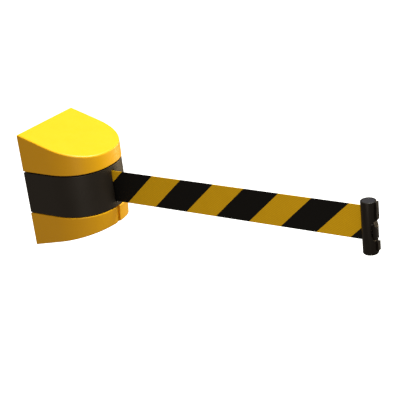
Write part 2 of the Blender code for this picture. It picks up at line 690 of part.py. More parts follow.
def clip_body(finish):
    centre = (0, CLIP_Y)
    edge = 0.001
    profile = [(0, CLIP_LOW), (CLIP_RADIUS - edge, CLIP_LOW), (CLIP_RADIUS, CLIP_LOW + edge),
               (CLIP_RADIUS, CLIP_HIGH - edge), (CLIP_RADIUS - edge, CLIP_HIGH),
               (CLIP_RIM, CLIP_HIGH), (CLIP_RIM, CLIP_HIGH - CLIP_POCKET),
               (0, CLIP_HIGH - CLIP_POCKET)]
    body = place_origin(add_object("clip_body", turned(profile, 40, centre), finish, smooth=True),
                        (0, CLIP_Y, 0))
    boolean(body, clip_rail(RAIL_UPPER), "UNION", "upper_rail")
    boolean(body, clip_rail(RAIL_LOWER), "UNION", "lower_rail")
    slot = box((-CLIP_SLOT_HALF_WIDTH, BELT_PIN_Y, -CLIP_SLOT_HALF_HEIGHT),
               (CLIP_SLOT_HALF_WIDTH, CLIP_Y + 2 * CLIP_RADIUS, CLIP_SLOT_HALF_HEIGHT))
    boolean(body, slot, name="belt_slot")
    bore = rod(BELT_PIN_BORE, CLIP_LOW - RUN_PAST, BELT_PIN_HALF_LENGTH + 0.0005, 20,
               (0, BELT_PIN_Y))
    boolean(body, bore, name="pin_bore")
    scoop = [(SCOOP_DEEPEST - SCOOP_RADII[0] + a, b + SCOOP_Z) for a, b in oval(*SCOOP_RADII, 28)]
    boolean(body, along_x(scoop, 0.02), name="scoop")
    pocket = box((-LEVER_HALF_WIDTH - FIT_GAP, CLIP_Y - 2 * CLIP_RADIUS, POCKET_LEVELS[0]),
                 (LEVER_HALF_WIDTH + FIT_GAP, POCKET_BACK, POCKET_LEVELS[1]))
    boolean(body, pocket, name="pocket")
    hole = along_x(pivot_ring(LEVER_PIN + 0.0007), LEVER_PIN_HALF_LENGTH + FIT_GAP)
    boolean(body, hole, name="lever_pin_hole")


def oval(radius_a, radius_b, steps):
    return [(radius_a * cos(2 * pi * i / steps), radius_b * sin(2 * pi * i / steps))
            for i in range(steps)]


def pivot_ring(radius):
    """A circle in the YZ plane round the lever's pin."""
    return [(LEVER_PIVOT[0] + a, LEVER_PIVOT[1] + b) for a, b in oval(radius, radius, 12)]


def lock_lever(finish, steel):
    """The thumb catch in the clip's scoop, and the pin it swings on."""
    # depth in front of the clip's axis, and height
    shape = [(0.0056, 0.0040), (0.0054, 0.0), (0.0063, -0.0080), (0.0070, -0.0195),
             (0.0105, -0.0205), (0.0118, -0.0185), (0.0118, -0.0100), (0.0108, -0.0040),
             (0.0092, 0.0020), (0.0080, 0.0042)]
    outline = [(CLIP_Y - depth, z) for depth, z in shape]
    lever = add_object("lock_lever", along_x(outline, LEVER_HALF_WIDTH), finish)
    place_origin(lever, (0, *LEVER_PIVOT))
    boolean(lever, rod(LEVER_TRIM, -0.03, 0.01, 40, (0, CLIP_Y)), "INTERSECT", "trim")
    boolean(lever, along_x(pivot_ring(LEVER_PIN + FIT_GAP), 0.02), name="pin_hole")
    pin = along_x(pivot_ring(LEVER_PIN), LEVER_PIN_HALF_LENGTH)
    add_object("lever_pin", pin, steel, smooth=True)


def lever_spring(finish):
    """A small coil spring that holds the catch out."""
    low, high = CLIP_Y - 0.0059, POCKET_BACK - 0.0006
    radius, wire = CATCH_SPRING_RADIUS, CATCH_SPRING_WIRE
    turns, steps, sides = CATCH_SPRING_TURNS, 10, 5
    rings = []
    bm = bmesh.new()
    for i in range(turns * steps + 1):
        angle = 2 * pi * i / steps
        y = high + (low - high) * i / (turns * steps)
        rings.append([bm.verts.new(((radius + a) * cos(angle), y + b,
                                    CATCH_SPRING_Z + (radius + a) * sin(angle)))
                      for a, b in oval(wire, wire, sides)])
    for here, there in zip(rings, rings[1:]):
        for k in range(sides):
            j = (k + 1) % sides
            bm.faces.new((here[k], here[j], there[j], there[k]))
    bm.faces.new(rings[0])
    bm.faces.new(rings[-1])
    add_object("lever_spring", bm, finish, smooth=True)


def clip_small_parts(finish, steel):
    plug = rod(PLUG_RADIUS, CLIP_HIGH - CLIP_POCKET + FIT_GAP, CLIP_HIGH - 0.0002, 40,
               (0, CLIP_Y), 0.0003)
    add_object("clip_end_plug", plug, finish, smooth=True)
    pin = rod(BELT_PIN_RADIUS, -BELT_PIN_HALF_LENGTH, BELT_PIN_HALF_LENGTH, 20,
              (0, BELT_PIN_Y), 0.0004)
    add_object("belt_pin", pin, steel, smooth=True)


# ---- assembly ----
for old in list(bpy.data.objects):
    bpy.data.objects.remove(old, do_unlink=True)

yellow_abs = material("yellow_abs", YELLOW, 0.38)
black_abs = material("black_abs", BLACK, 0.45)
zinc_steel = material("zinc_steel", STEEL, 0.35, 1.0)
spring_steel = material("spring_steel", (0.20, 0.22, 0.28), 0.30, 1.0)
bronze_metal = material("sintered_bronze", (0.48, 0.30, 0.14), 0.50, 1.0)
cast_zinc = material("zinc_casting", (0.38, 0.39, 0.40), 0.55, 1.0)
brake_lining = material("brake_lining", (0.11, 0.08, 0.06), 0.90)
white_nylon = material("white_nylon", (0.80, 0.79, 0.74), 0.40)
polyester = material("polyester_webbing", (0.45, 0.28, 0.01), 0.80)
clip_black = material("clip_abs", (0.014, 0.012, 0.010), 0.38)
plug_grey = material("plug_abs", (0.06, 0.06, 0.065), 0.35)

wall_plate(zinc_steel)
plate_screws(zinc_steel)
cassette_body(black_abs)
cassette_lid(black_abs)
pan_screws("lid_screw", LID_POSTS, LID_TOP + FIT_GAP, zinc_steel, 0.012)
bush("lower_bush", bronze_metal)
bush("upper_bush", bronze_metal)
reel(zinc_steel, black_abs, polyester, bronze_metal)
spring_drum(black_abs, zinc_steel)
mainspring(spring_steel)
pan_screws("drum_screw", DRUM_SCREWS, DRUM_BOTTOM + DRUM_FLOOR + FIT_GAP, zinc_steel, 0.006)
brake_drum(zinc_steel)
pan_screws("brake_screw", [(-BRAKE_SCREW_X, REEL_Y), (BRAKE_SCREW_X, REEL_Y)],
           BRAKE_TOP - BRAKE_WEB - FIT_GAP, zinc_steel, 0.0045, up=False)
brake_carrier(zinc_steel)
brake_shoes(cast_zinc, brake_lining, zinc_steel)
guide_rollers(white_nylon, zinc_steel)
top_cap(yellow_abs)
lower_housing(yellow_abs)
belt(polyester)
clip_body(clip_black)
lock_lever(clip_black, zinc_steel)
lever_spring(spring_steel)
clip_small_parts(plug_grey, zinc_steel)
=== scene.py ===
from math import asin, atan2, cos, degrees, hypot, pi, radians, sin

import bmesh
import bpy
from mathutils import Matrix, Vector


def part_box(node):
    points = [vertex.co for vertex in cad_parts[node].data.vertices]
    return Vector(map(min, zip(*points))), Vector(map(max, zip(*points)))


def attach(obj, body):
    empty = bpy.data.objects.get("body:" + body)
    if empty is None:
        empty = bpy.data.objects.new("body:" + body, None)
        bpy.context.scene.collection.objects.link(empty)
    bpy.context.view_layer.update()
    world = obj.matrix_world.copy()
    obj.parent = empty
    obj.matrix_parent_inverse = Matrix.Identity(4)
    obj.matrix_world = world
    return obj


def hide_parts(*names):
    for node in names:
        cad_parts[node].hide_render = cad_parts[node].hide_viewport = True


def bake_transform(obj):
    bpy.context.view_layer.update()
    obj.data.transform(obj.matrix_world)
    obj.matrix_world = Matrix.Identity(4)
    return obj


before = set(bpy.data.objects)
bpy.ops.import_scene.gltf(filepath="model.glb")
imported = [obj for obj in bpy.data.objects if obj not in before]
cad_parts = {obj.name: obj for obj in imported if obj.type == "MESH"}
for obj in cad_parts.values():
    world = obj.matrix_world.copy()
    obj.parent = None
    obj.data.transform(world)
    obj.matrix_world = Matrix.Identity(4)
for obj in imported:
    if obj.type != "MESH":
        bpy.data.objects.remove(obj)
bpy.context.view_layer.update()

# ----------------------------------------
# Setting: the casing hangs on a wall at waist height, seen from in front, above and to
# the left of it. A large soft box hangs above in front, with a weak fill to the left for
# the belt and a warm one low on the right for the undersides.
AIM = Vector((0.1082, -0.1957, -0.0583))     # where the optical axis passes the unit
CAMERA_AZIMUTH = -54.77
CAMERA_ELEVATION = 22.81
CAMERA_ROLL = -6.91
CAMERA_DISTANCE = 1.6950
LENS = 97.38                                 # on a 36 mm wide sensor
FLOOR_HEIGHT = -1.0


def direction(azimuth, elevation):
    """From the object towards a place round it; azimuth 0 is in front, at -Y."""
    a, e = radians(azimuth), radians(elevation)
    return Vector((sin(a) * cos(e), -cos(a) * cos(e), sin(e)))


def srgb(code):
    """A colour written as #RRGGBB, turned to the linear values that shaders take."""
    parts = [int(code[i:i + 2], 16) / 255 for i in (1, 3, 5)]
    linear = [c / 12.92 if c <= 0.04045 else ((c + 0.055) / 1.055) ** 2.4 for c in parts]
    return (*linear, 1.0)


def feed(node, inputs):
    """Gives each input of a node a value, or a link from another node's output."""
    for key, value in inputs.items():
        if isinstance(value, bpy.types.NodeSocket):
            node.id_data.links.new(value, node.inputs[key])
        else:
            node.inputs[key].default_value = value


def add_node(tree, kind, inputs=(), **settings):
    """Adds a node, sets its fields and feeds its inputs."""
    made = tree.nodes.new(kind)
    for field, value in settings.items():
        setattr(made, field, value)
    feed(made, dict(inputs))
    return made


def start_material(name):
    """A material with its Principled shader, and the place on the object that patterns read."""
    made = bpy.data.materials.new(name)
    made.use_nodes = True
    tree = made.node_tree
    place = add_node(tree, "ShaderNodeTexCoord").outputs["Object"]
    return made, tree, tree.nodes["Principled BSDF"], place


back = direction(CAMERA_AZIMUTH, CAMERA_ELEVATION)
camera = bpy.data.objects.new("camera", bpy.data.cameras.new("camera"))
bpy.context.scene.collection.objects.link(camera)
camera.data.lens = LENS
camera.data.sensor_width = 36
camera.data.clip_end = 100
facing = (-back).to_track_quat("-Z", "Y").to_matrix().to_4x4()
camera.matrix_world = (Matrix.Translation(AIM + back * CAMERA_DISTANCE) @ facing
    @ Matrix.Rotation(radians(CAMERA_ROLL), 4, "Z"))
bpy.context.scene.camera = camera


def soft_box(name, place, aim, size, power, colour):
    light = bpy.data.lights.new(name, "AREA")
    light.shape = "DISK"
    light.size = size
    light.energy = power
    light.color = srgb(colour)[:3]
    lamp = bpy.data.objects.new(name, light)
    bpy.context.scene.collection.objects.link(lamp)
    lamp.location = place
    lamp.visible_camera = False
    lamp.rotation_euler = (Vector(aim) - Vector(place)).to_track_quat("-Z", "Y").to_euler()


soft_box("key", (0.55, -1.05, 2.6), (0, -0.2, 0), 1.4, 160, "#FAFFF8")
soft_box("belt_fill", (-0.93, -0.7, 0.14), (0, -0.38, 0), 0.5, 2.9, "#FFF2E0")
soft_box("low_front", (1.55, -0.72, -0.1), (0, -0.1, 0), 0.8, 15, "#FFE2B4")

world = bpy.data.worlds.new("studio")
world.use_nodes = True
feed(world.node_tree.nodes["Background"], {"Color": srgb("#FFF1DE"), "Strength": 0.27})
bpy.context.scene.world = world
bpy.context.scene.view_settings.view_transform = "Standard"


def paper_white():
    """Matt white studio paper, bright enough to read as plain white."""
    made, tree, shader, place = start_material("paper_white")
    feed(shader, {"Base Color": srgb("#F4F4F2"), "Roughness": 0.9,
        "Emission Color": srgb("#FFFFFF"), "Emission Strength": 1.0})
    return made


bpy.ops.mesh.primitive_plane_add(size=80, location=(0, 0, FLOOR_HEIGHT))
floor = bpy.context.object
floor.name = "floor"
floor.data.materials.append(paper_white())
floor.visible_diffuse = False
floor.visible_glossy = False

# ----------------------------------------
# Wall plate: zinc-plated steel sheet, 2.5 mm thick, cut and countersunk. It is screwed to
# the back of the covers and of the cassette, and drops over four wall screws by its
# keyholes.
plate_low, plate_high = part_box("wall_plate")
CORNER = 0.003
SHEET_EDGE = 0.0003
KEYHOLES = [(-0.035, 0.058), (0.035, 0.058), (-0.035, -0.066), (0.035, -0.066)]
KEYHOLE_RADIUS = 0.0055
KEYHOLE_NECK = 0.00275
KEYHOLE_RISE = 0.010
COVER_SCREW_X = 0.052
CAP_SCREW_Z = 0.078
HOUSING_SCREW_Z = -0.050
CASSETTE_SCREW_X = 0.048
PLATE_SCREWS = [(side * x, z) for x, z in ((COVER_SCREW_X, CAP_SCREW_Z), (CASSETTE_SCREW_X, 0.0),
    (COVER_SCREW_X, HOUSING_SCREW_Z)) for side in (-1, 1)]
SINK_RADIUS = 0.0051
SINK_HOLE = 0.0023
CREASE = radians(32)                         # edges that turn by more stay sharp


def stacked(rings):
    """A closed solid through a stack of rings that have the same number of points."""
    bm = bmesh.new()
    rows = [[bm.verts.new(point) for point in ring] for ring in rings]
    for here, there in zip(rows, rows[1:]):
        for i in range(len(here)):
            j = (i + 1) % len(here)
            bm.faces.new((here[i], here[j], there[j], there[i]))
    bm.faces.new(rows[0])
    bm.faces.new(rows[-1])
    return bm


def shade(mesh):
    mesh.shade_smooth()
    mesh.set_sharp_from_angle(angle=CREASE)


def piece(name, bm, finish=None):
    """An object made of a bmesh, with its faces pointing out and its curves shaded smooth."""
    bmesh.ops.recalc_face_normals(bm, faces=bm.faces)
    mesh = bpy.data.meshes.new(name)
    bm.to_mesh(mesh)
    bm.free()
    made = bpy.data.objects.new(name, mesh)
    bpy.context.scene.collection.objects.link(made)
    shade(mesh)
    if finish:
        mesh.materials.append(finish)
    return made


def carve(target, *steps):
    """Cuts a piece with each tool in turn, or joins or trims it where a step says so."""
    tools = []
    for step in steps:
        operation, bm = step if isinstance(step, tuple) else ("DIFFERENCE", step)
        tool = piece("tool", bm) if isinstance(bm, bmesh.types.BMesh) else bm
        change = target.modifiers.new(operation, "BOOLEAN")
        change.operation = operation
        change.solver = "EXACT"
        change.object = tool
        tools.append(tool)
    seen = target.evaluated_get(bpy.context.evaluated_depsgraph_get())
    mesh = bpy.data.meshes.new_from_object(seen)
    target.modifiers.clear()
    finishes = list(target.data.materials)
    target.data = mesh
    mesh.materials.clear()
    for finish in finishes:
        mesh.materials.append(finish)
    mesh.polygons.foreach_set("material_index", [0] * len(mesh.polygons))
    for tool in tools:
        bpy.data.objects.remove(tool, do_unlink=True)
    shade(mesh)


def fitted(made, body, slot, *nodes):
    """Says which body a piece rides on and the CAD nodes it stands for; its material slot is not
    used.
    """
    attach(made, body)
    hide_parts(*nodes)


def prism(outline, low, high):
    return stacked([[(x, y, z) for x, y in outline] for z in (low, high)])


def block(low, high):
    (x0, y0, z0), (x1, y1, z1) = low, high
    return prism([(x0, y0), (x1, y0), (x1, y1), (x0, y1)], z0, z1)


def turned(profile, centre=(0.0, 0.0), steps=64):
    """A solid of revolution about a vertical axis; the profile is (radius, height) points."""
    bm = bmesh.new()
    rows = []
    for radius, height in profile:
        turns = range(1 if radius == 0 else steps)
        rows.append([bm.verts.new((centre[0] + radius * cos(2 * pi * i / steps),
            centre[1] + radius * sin(2 * pi * i / steps), height)) for i in turns])
    for here, there in zip(rows, rows[1:] + rows[:1]):
        if len(here) == len(there) == 1:
            continue
        for i in range(steps):
            j = (i + 1) % steps
            corners = (here[i % len(here)], here[j % len(here)], there[j % len(there)],
                there[i % len(there)])
            bm.faces.new(list(dict.fromkeys(corners)))
    return bm


def rod(radius, low, high, centre=(0.0, 0.0), steps=32):
    return turned([(0, low), (radius, low), (radius, high), (0, high)], centre, steps)


def along_y(bm, x, z, start=0.0):
    """Lays a shape made about the vertical axis so that its up points along -Y."""
    turn = Matrix.Translation((x, start, z)) @ Matrix.Rotation(radians(90), 4, "X")
    bmesh.ops.transform(bm, matrix=turn, verts=bm.verts)
    return bm


def arc(centre, radius, start, end, steps):
    """Points on a circle, from one angle to another in degrees."""
    angles = [radians(start + (end - start) * i / steps) for i in range(steps + 1)]
    return [(centre[0] + radius * cos(a), centre[1] + radius * sin(a)) for a in angles]


def sheet_outline(inset):
    """The plate's outline, with rounded corners, in X and Z."""
    x, low, high = plate_high.x - CORNER, plate_low.z + CORNER, plate_high.z - CORNER
    corners = ((x, high, 0), (-x, high, 90), (-x, low, 180), (x, low, 270))
    return [point for cx, cz, start in corners
        for point in arc((cx, cz), CORNER - inset, start, start + 90, 8)]


def keyhole_outline(grow):
    """A round hole for a screw's head, and the neck above it that holds the shank."""
    neck, hole = KEYHOLE_NECK + grow, KEYHOLE_RADIUS + grow
    meet = degrees(asin(neck / hole))
    return arc((0, KEYHOLE_RISE), neck, 0, 180, 16) + arc((0, 0), hole, 90 + meet, 450 - meet, 40)


def zinc_plated_steel():
    """Cold-rolled steel with a bright zinc plate and a clear blue passivate. The rolling
    leaves lines about 0.2 mm apart, drawn at 0.5 mm so that they show, and the passivate
    gives patches that are a little bluer or yellower."""
    made, tree, shader, place = start_material("steel_zinc_plated")
    rolled = add_node(tree, "ShaderNodeMapping", {"Vector": place, "Scale": (1.0, 1.0, 0.04)})
    lines = add_node(tree, "ShaderNodeTexNoise", {"Vector": rolled.outputs["Vector"],
        "Scale": 1900.0, "Detail": 3.0})
    patches = add_node(tree, "ShaderNodeTexNoise", {"Vector": place, "Scale": 60.0, "Detail": 4.0})
    bluish = add_node(tree, "ShaderNodeValToRGB", {"Fac": patches.outputs["Fac"]})
    for stop, at, code in zip(bluish.color_ramp.elements, (0.35, 0.68), ("#C3C8CF", "#D2CFC4")):
        stop.position, stop.color = at, srgb(code)
    rough = add_node(tree, "ShaderNodeMapRange", {"Value": lines.outputs["Fac"], "From Min": 0.3,
        "From Max": 0.7, "To Min": 0.26, "To Max": 0.42})
    bump = add_node(tree, "ShaderNodeBump", {"Height": lines.outputs["Fac"], "Strength": 0.12,
        "Distance": 0.0001})
    feed(shader, {"Base Color": bluish.outputs["Color"], "Roughness": rough.outputs["Result"],
        "Normal": bump.outputs["Normal"], "Metallic": 1.0})
    return made


ZINC_STEEL = zinc_plated_steel()
PLATE_BACK, PLATE_FRONT = plate_high.y, plate_low.y
plate_rings = [[(x, y, z) for x, z in sheet_outline(inset)] for inset, y in (
    (SHEET_EDGE, PLATE_BACK), (0.0, PLATE_BACK - SHEET_EDGE), (0.0, PLATE_FRONT + SHEET_EDGE),
    (SHEET_EDGE, PLATE_FRONT))]
plate = piece("wall_plate_sheet", stacked(plate_rings), ZINC_STEEL)
for x, z in KEYHOLES:
    eased = [(0.0006, 0.001), (0.0006, 0.0), (0.0, -0.0004), (0.0, -0.01)]
    carve(plate, stacked([[(x + a, y, z + b) for a, b in keyhole_outline(grow)]
        for grow, y in eased]))
sinks = [along_y(turned([(0, -0.001), (SINK_RADIUS, -0.001), (SINK_RADIUS - 0.001, 0.0),
    (SINK_HOLE, 0.0018), (SINK_HOLE, 0.01), (0, 0.01)], steps=48), x, z) for x, z in PLATE_SCREWS]
carve(plate, *sinks)
fitted(plate, "casing", "zinc_steel", "wall_plate")

# ----------------------------------------
# Cassette body: the black band between the covers, ABS with a finely sparked skin. It
# holds the reel. The belt comes out of the slot in its nose, whose lips are rounded.
cap_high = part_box("top_cap")[1]
HALF_WIDTH = cap_high.x
DEPTH = -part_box("top_cap")[0].y
SIDE_LENGTH = 0.050                          # straight part of each side, from the wall
NOSE_POWER = 2.25                            # 2 would be an ellipse, more is squarer
NOSE_STEPS = 96
SCREW_CLEARANCE = 0.0021
SMALL_HOLE = 0.0018                          # for the lid's, the drum's and the brake's screws
BRAKE_SCREW_X = 0.034
BUSH_RADIUS = 0.006
FIT = 0.0003                                 # the gap between neighbouring parts
EASED = 0.0003                               # chamfer on small pieces
band_low, band_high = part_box("cassette_body")
BAND_INSET = HALF_WIDTH - band_high.x
BAND_WALL = 0.003
BACK_WALL = 0.0032
CASSETTE_FLOOR = -0.0298
SLOT_HALF_WIDTH = 0.0026
SLOT_HALF_HEIGHT = 0.026
SLOT_LIP = 0.0014
POST_RADIUS = 0.0038
REEL_Y = -0.056
LID_POSTS = [(-0.0565, -0.0115), (0.0565, -0.0115), (-0.043, -0.0965), (0.043, -0.0965)]
lid_low, lid_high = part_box("cassette_lid")
band_back = PLATE_FRONT - FIT


def plan(inset=0.0, rear=0.0):
    """The casing seen from above: straight sides and a superelliptic nose."""
    half = HALF_WIDTH - inset
    nose = DEPTH - SIDE_LENGTH - inset
    points = [(-half, rear)]
    for i in range(NOSE_STEPS + 1):
        angle = pi - pi * i / NOSE_STEPS
        across = abs(cos(angle)) ** (2 / NOSE_POWER) * (1 if cos(angle) > 0 else -1)
        along = sin(angle) ** (2 / NOSE_POWER) if 0 < i < NOSE_STEPS else 0.0
        points.append((half * across, -SIDE_LENGTH - nose * along))
    return points + [(half, rear)]


def screw_hole(x, z):
    return along_y(rod(SCREW_CLEARANCE, -0.003, 0.0158, steps=32), x, z)


def band_ring(inset, height):
    return [(x, y, height) for x, y in plan(BAND_INSET + inset, rear=-inset)]


def slot_cutter():
    """The belt slot: straight through the wall, then flared outward round its lips."""
    def section(y, grow):
        wide, tall = SLOT_HALF_WIDTH + grow, SLOT_HALF_HEIGHT + grow
        return [(wide, y, -tall), (wide, y, tall), (-wide, y, tall), (-wide, y, -tall)]

    nose = -DEPTH + BAND_INSET
    turns = [pi / 2 * k / 5 for k in range(6)]
    flare = [section(nose + SLOT_LIP - SLOT_LIP * sin(a), SLOT_LIP * (1 - cos(a))) for a in turns]
    return stacked([section(-0.110, 0.0)] + flare + [section(nose - 0.01, SLOT_LIP)])


def black_abs():
    """ABS in black, moulded in a spark-eroded tool. The grain is about 0.3 mm, drawn at
    0.6 mm so that it shows; it scatters highlights and gives the skin a warm grey bloom."""
    made, tree, shader, place = start_material("black_abs_sparked")
    grain = add_node(tree, "ShaderNodeTexNoise", {"Vector": place, "Scale": 1600.0, "Detail": 2.0})
    bloom = add_node(tree, "ShaderNodeTexNoise", {"Vector": place, "Scale": 35.0, "Detail": 4.0})
    colour = add_node(tree, "ShaderNodeMix", {0: bloom.outputs["Fac"], 6: srgb("#19140F"),
        7: srgb("#201A14")}, data_type="RGBA")
    rough = add_node(tree, "ShaderNodeMapRange", {"Value": bloom.outputs["Fac"], "From Min": 0.3,
        "From Max": 0.7, "To Min": 0.42, "To Max": 0.52})
    bump = add_node(tree, "ShaderNodeBump", {"Height": grain.outputs["Fac"], "Strength": 0.25,
        "Distance": 0.0002})
    feed(shader, {"Base Color": colour.outputs[2], "Roughness": rough.outputs["Result"],
        "Normal": bump.outputs["Normal"], "IOR": 1.53, "Specular IOR Level": 0.35})
    return made


BLACK = black_abs()
cassette = piece("cassette_band", stacked([band_ring(0.0006, band_low.z),
    band_ring(0.0002, band_low.z + 0.0002), band_ring(0.0, band_low.z + 0.0006),
    band_ring(0.0, band_low.z + 0.0014), band_ring(0.0, band_high.z - 0.0014),
    band_ring(0.0, band_high.z - 0.0006), band_ring(0.0002, band_high.z - 0.0002),
    band_ring(0.0006, band_high.z)]), BLACK)
inside = piece("inside", prism(plan(BAND_INSET + BAND_WALL, rear=band_back - BACK_WALL),
    CASSETTE_FLOOR, band_high.z + 0.01))
for post in LID_POSTS:
    carve(inside, rod(POST_RADIUS, -0.05, lid_low.z - FIT, post))
for side in (-1, 1):
    x = side * CASSETTE_SCREW_X
    carve(inside, block((x - 0.004, band_back - 0.015, -0.004), (x + 0.004, 0, 0.004)))
plate_side = plate_high.x + FIT
cuts = [inside, block((-plate_side, band_back, -0.05), (plate_side, 0.01, 0.05)), slot_cutter(),
    rod(BUSH_RADIUS + FIT, -0.05, 0, (0, REEL_Y), 48)]
cuts += [rod(SMALL_HOLE, 0.018, 0.05, post, 24) for post in LID_POSTS]
cuts += [rod(SMALL_HOLE, -0.05, 0, (side * BRAKE_SCREW_X, REEL_Y), 24) for side in (-1, 1)]
cuts += [screw_hole(side * CASSETTE_SCREW_X, 0.0) for side in (-1, 1)]
carve(cassette, *cuts)
fitted(cassette, "casing", "black_abs", "cassette_body")

# ----------------------------------------
# Bushes: two flanged sleeves of sintered bronze, full of oil, pressed into the cassette's
# floor and into its lid. The reel's shaft turns in them.
SHAFT_RADIUS = 0.004
BUSH_FLANGE = 0.009


def sintered_bronze():
    """Bronze powder, pressed and sintered. It is half matt, and open pores of about 0.1 mm,
    drawn at 0.4 mm, hold dark oil between the grains."""
    made, tree, shader, place = start_material("bronze_sintered_oiled")
    pores = add_node(tree, "ShaderNodeTexVoronoi", {"Vector": place, "Scale": 2500.0})
    pits = add_node(tree, "ShaderNodeMapRange", {"Value": pores.outputs["Distance"],
        "From Min": 0.05, "From Max": 0.35})
    tone = add_node(tree, "ShaderNodeMix", {0: pits.outputs["Result"], 6: srgb("#6E5330"),
        7: srgb("#B08D57")}, data_type="RGBA")
    bump = add_node(tree, "ShaderNodeBump", {"Height": pits.outputs["Result"], "Strength": 0.3,
        "Distance": 0.0001})
    feed(shader, {"Base Color": tone.outputs[2], "Normal": bump.outputs["Normal"], "Metallic": 1.0,
        "Roughness": 0.48})
    return made


def eased_tube(inner, outer, low, high, centre, steps=96, edge=EASED):
    """A tube with chamfered ends, about a vertical axis."""
    return turned([(inner + edge, low), (outer - edge, low), (outer, low + edge),
        (outer, high - edge), (outer - edge, high), (inner + edge, high), (inner, high - edge),
        (inner, low + edge)], centre, steps)


BRONZE = sintered_bronze()
REEL_AXIS = (0.0, REEL_Y)
bush_bore = SHAFT_RADIUS + 0.00015
for node, name, shoulder in (("lower_bush", "bush_in_cassette_floor", -0.0295),
    ("upper_bush", "bush_in_lid", 0.0304)):
    low, high = (corner.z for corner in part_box(node))
    sleeve = ((low, shoulder), (shoulder, high))
    upper_flange = node == "lower_bush"
    flange, barrel = sleeve[::-1] if upper_flange else sleeve
    ends = [(bush_bore, barrel[0]), (BUSH_RADIUS - EASED, barrel[0]),
        (BUSH_RADIUS, barrel[0] + EASED), (BUSH_RADIUS, flange[0]), (BUSH_FLANGE, flange[0]),
        (BUSH_FLANGE, flange[1] - EASED), (BUSH_FLANGE - EASED, flange[1]), (bush_bore, flange[1])]
    if not upper_flange:
        ends = [(bush_bore, flange[0]), (BUSH_FLANGE - EASED, flange[0]),
            (BUSH_FLANGE, flange[0] + EASED), (BUSH_FLANGE, flange[1]), (BUSH_RADIUS, flange[1]),
            (BUSH_RADIUS, barrel[1] - EASED), (BUSH_RADIUS - EASED, barrel[1]),
            (bush_bore, barrel[1])]
    bush = piece(name, turned(ends, REEL_AXIS, 64), BRONZE)
    fitted(bush, "casing", "sintered_bronze", node)

# ----------------------------------------
# Reel: a ground steel shaft that carries a moulded hub and two flanges for the belt, and
# above them a bronze arbor for the mainspring. Retaining rings hold it at both ends.
BORE = SHAFT_RADIUS + FIT
HUB_RADIUS = 0.012


def on_reel(name, bm, finish, slot, *nodes):
    made = piece(name, bm, finish)
    fitted(made, "reel", slot, *nodes)
    return made


def levels(node):
    return tuple(corner.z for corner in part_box(node))


low, high = levels("spindle")
shaft_ends = [(0, low), (SHAFT_RADIUS - 0.0006, low), (SHAFT_RADIUS, low + 0.0006),
    (SHAFT_RADIUS, high - 0.0006), (SHAFT_RADIUS - 0.0006, high), (0, high)]
on_reel("reel_shaft", turned(shaft_ends, REEL_AXIS, 64), ZINC_STEEL, "zinc_steel", "spindle")
on_reel("reel_hub", eased_tube(BORE, HUB_RADIUS, *levels("spool_hub"), REEL_AXIS), BLACK,
    "black_abs", "spool_hub")
flange_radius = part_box("spool_flange_lower")[1].x
for end in ("lower", "upper"):
    on_reel(f"reel_flange_{end}", eased_tube(BORE, flange_radius, *levels(f"spool_flange_{end}"),
        REEL_AXIS, 128, 0.0005), BLACK, "black_abs", f"spool_flange_{end}")
    base = levels(f"retaining_clip_{end}")[0]
    ring = arc(REEL_AXIS, 0.0075, 30, 330, 48) + arc(REEL_AXIS, BORE, 330, 30, 48)
    on_reel(f"retaining_ring_{end}", prism(ring, base, base + 0.0008), ZINC_STEEL, "zinc_steel",
        f"retaining_clip_{end}")
arbor_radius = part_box("spring_arbor")[1].x
on_reel("mainspring_arbor", eased_tube(BORE, arbor_radius, *levels("spring_arbor"), REEL_AXIS),
    BRONZE, "sintered_bronze", "spring_arbor")

# ----------------------------------------
# Centrifugal brake: two cast zinc shoes with pressed linings, on a carrier under the reel.
# When the belt flies back they swing out and rub in a pressed steel drum.
SHOE_PIVOT = 0.020
SHOE_INNER = 0.015
SHOE_OUTER = 0.0245
LINING_OUTER = 0.0268


def cast_zinc():
    """Zinc alloy, die cast and left as it comes: dull grey with flow marks 3 to 5 mm long."""
    made, tree, shader, place = start_material("zinc_die_cast")
    flow = add_node(tree, "ShaderNodeTexNoise", {"Vector": place, "Scale": 260.0, "Detail": 5.0,
        "Distortion": 1.2})
    tone = add_node(tree, "ShaderNodeMix", {0: flow.outputs["Fac"], 6: srgb("#85888C"),
        7: srgb("#A4A6A8")}, data_type="RGBA")
    bump = add_node(tree, "ShaderNodeBump", {"Height": flow.outputs["Fac"], "Strength": 0.3,
        "Distance": 0.0002})
    feed(shader, {"Base Color": tone.outputs[2], "Normal": bump.outputs["Normal"], "Metallic": 1.0,
        "Roughness": 0.55})
    return made


def friction_lining():
    """Resin and mineral fibre, pressed: dark brown, matt, flecked with 0.5 mm fibre ends."""
    made, tree, shader, place = start_material("brake_lining_pressed")
    flecks = add_node(tree, "ShaderNodeTexVoronoi", {"Vector": place, "Scale": 1500.0})
    tone = add_node(tree, "ShaderNodeValToRGB", {"Fac": flecks.outputs["Distance"]})
    for stop, at, code in zip(tone.color_ramp.elements, (0.12, 0.30), ("#7A6A55", "#3A3028")):
        stop.position, stop.color = at, srgb(code)
    bump = add_node(tree, "ShaderNodeBump", {"Height": flecks.outputs["Distance"], "Strength": 0.4,
        "Distance": 0.0002})
    feed(shader, {"Base Color": tone.outputs["Color"], "Normal": bump.outputs["Normal"],
        "Roughness": 0.9})
    return made


def eased_block(outline, low, high, width):
    """An upright solid of an outline with every sharp edge rounded by the given width."""
    bm = prism(outline, low, high)
    sharp = [edge for edge in bm.edges if edge.calc_face_angle(0.0) > radians(40)]
    bmesh.ops.bevel(bm, geom=sharp, offset=width, segments=2, affect="EDGES")
    return bm


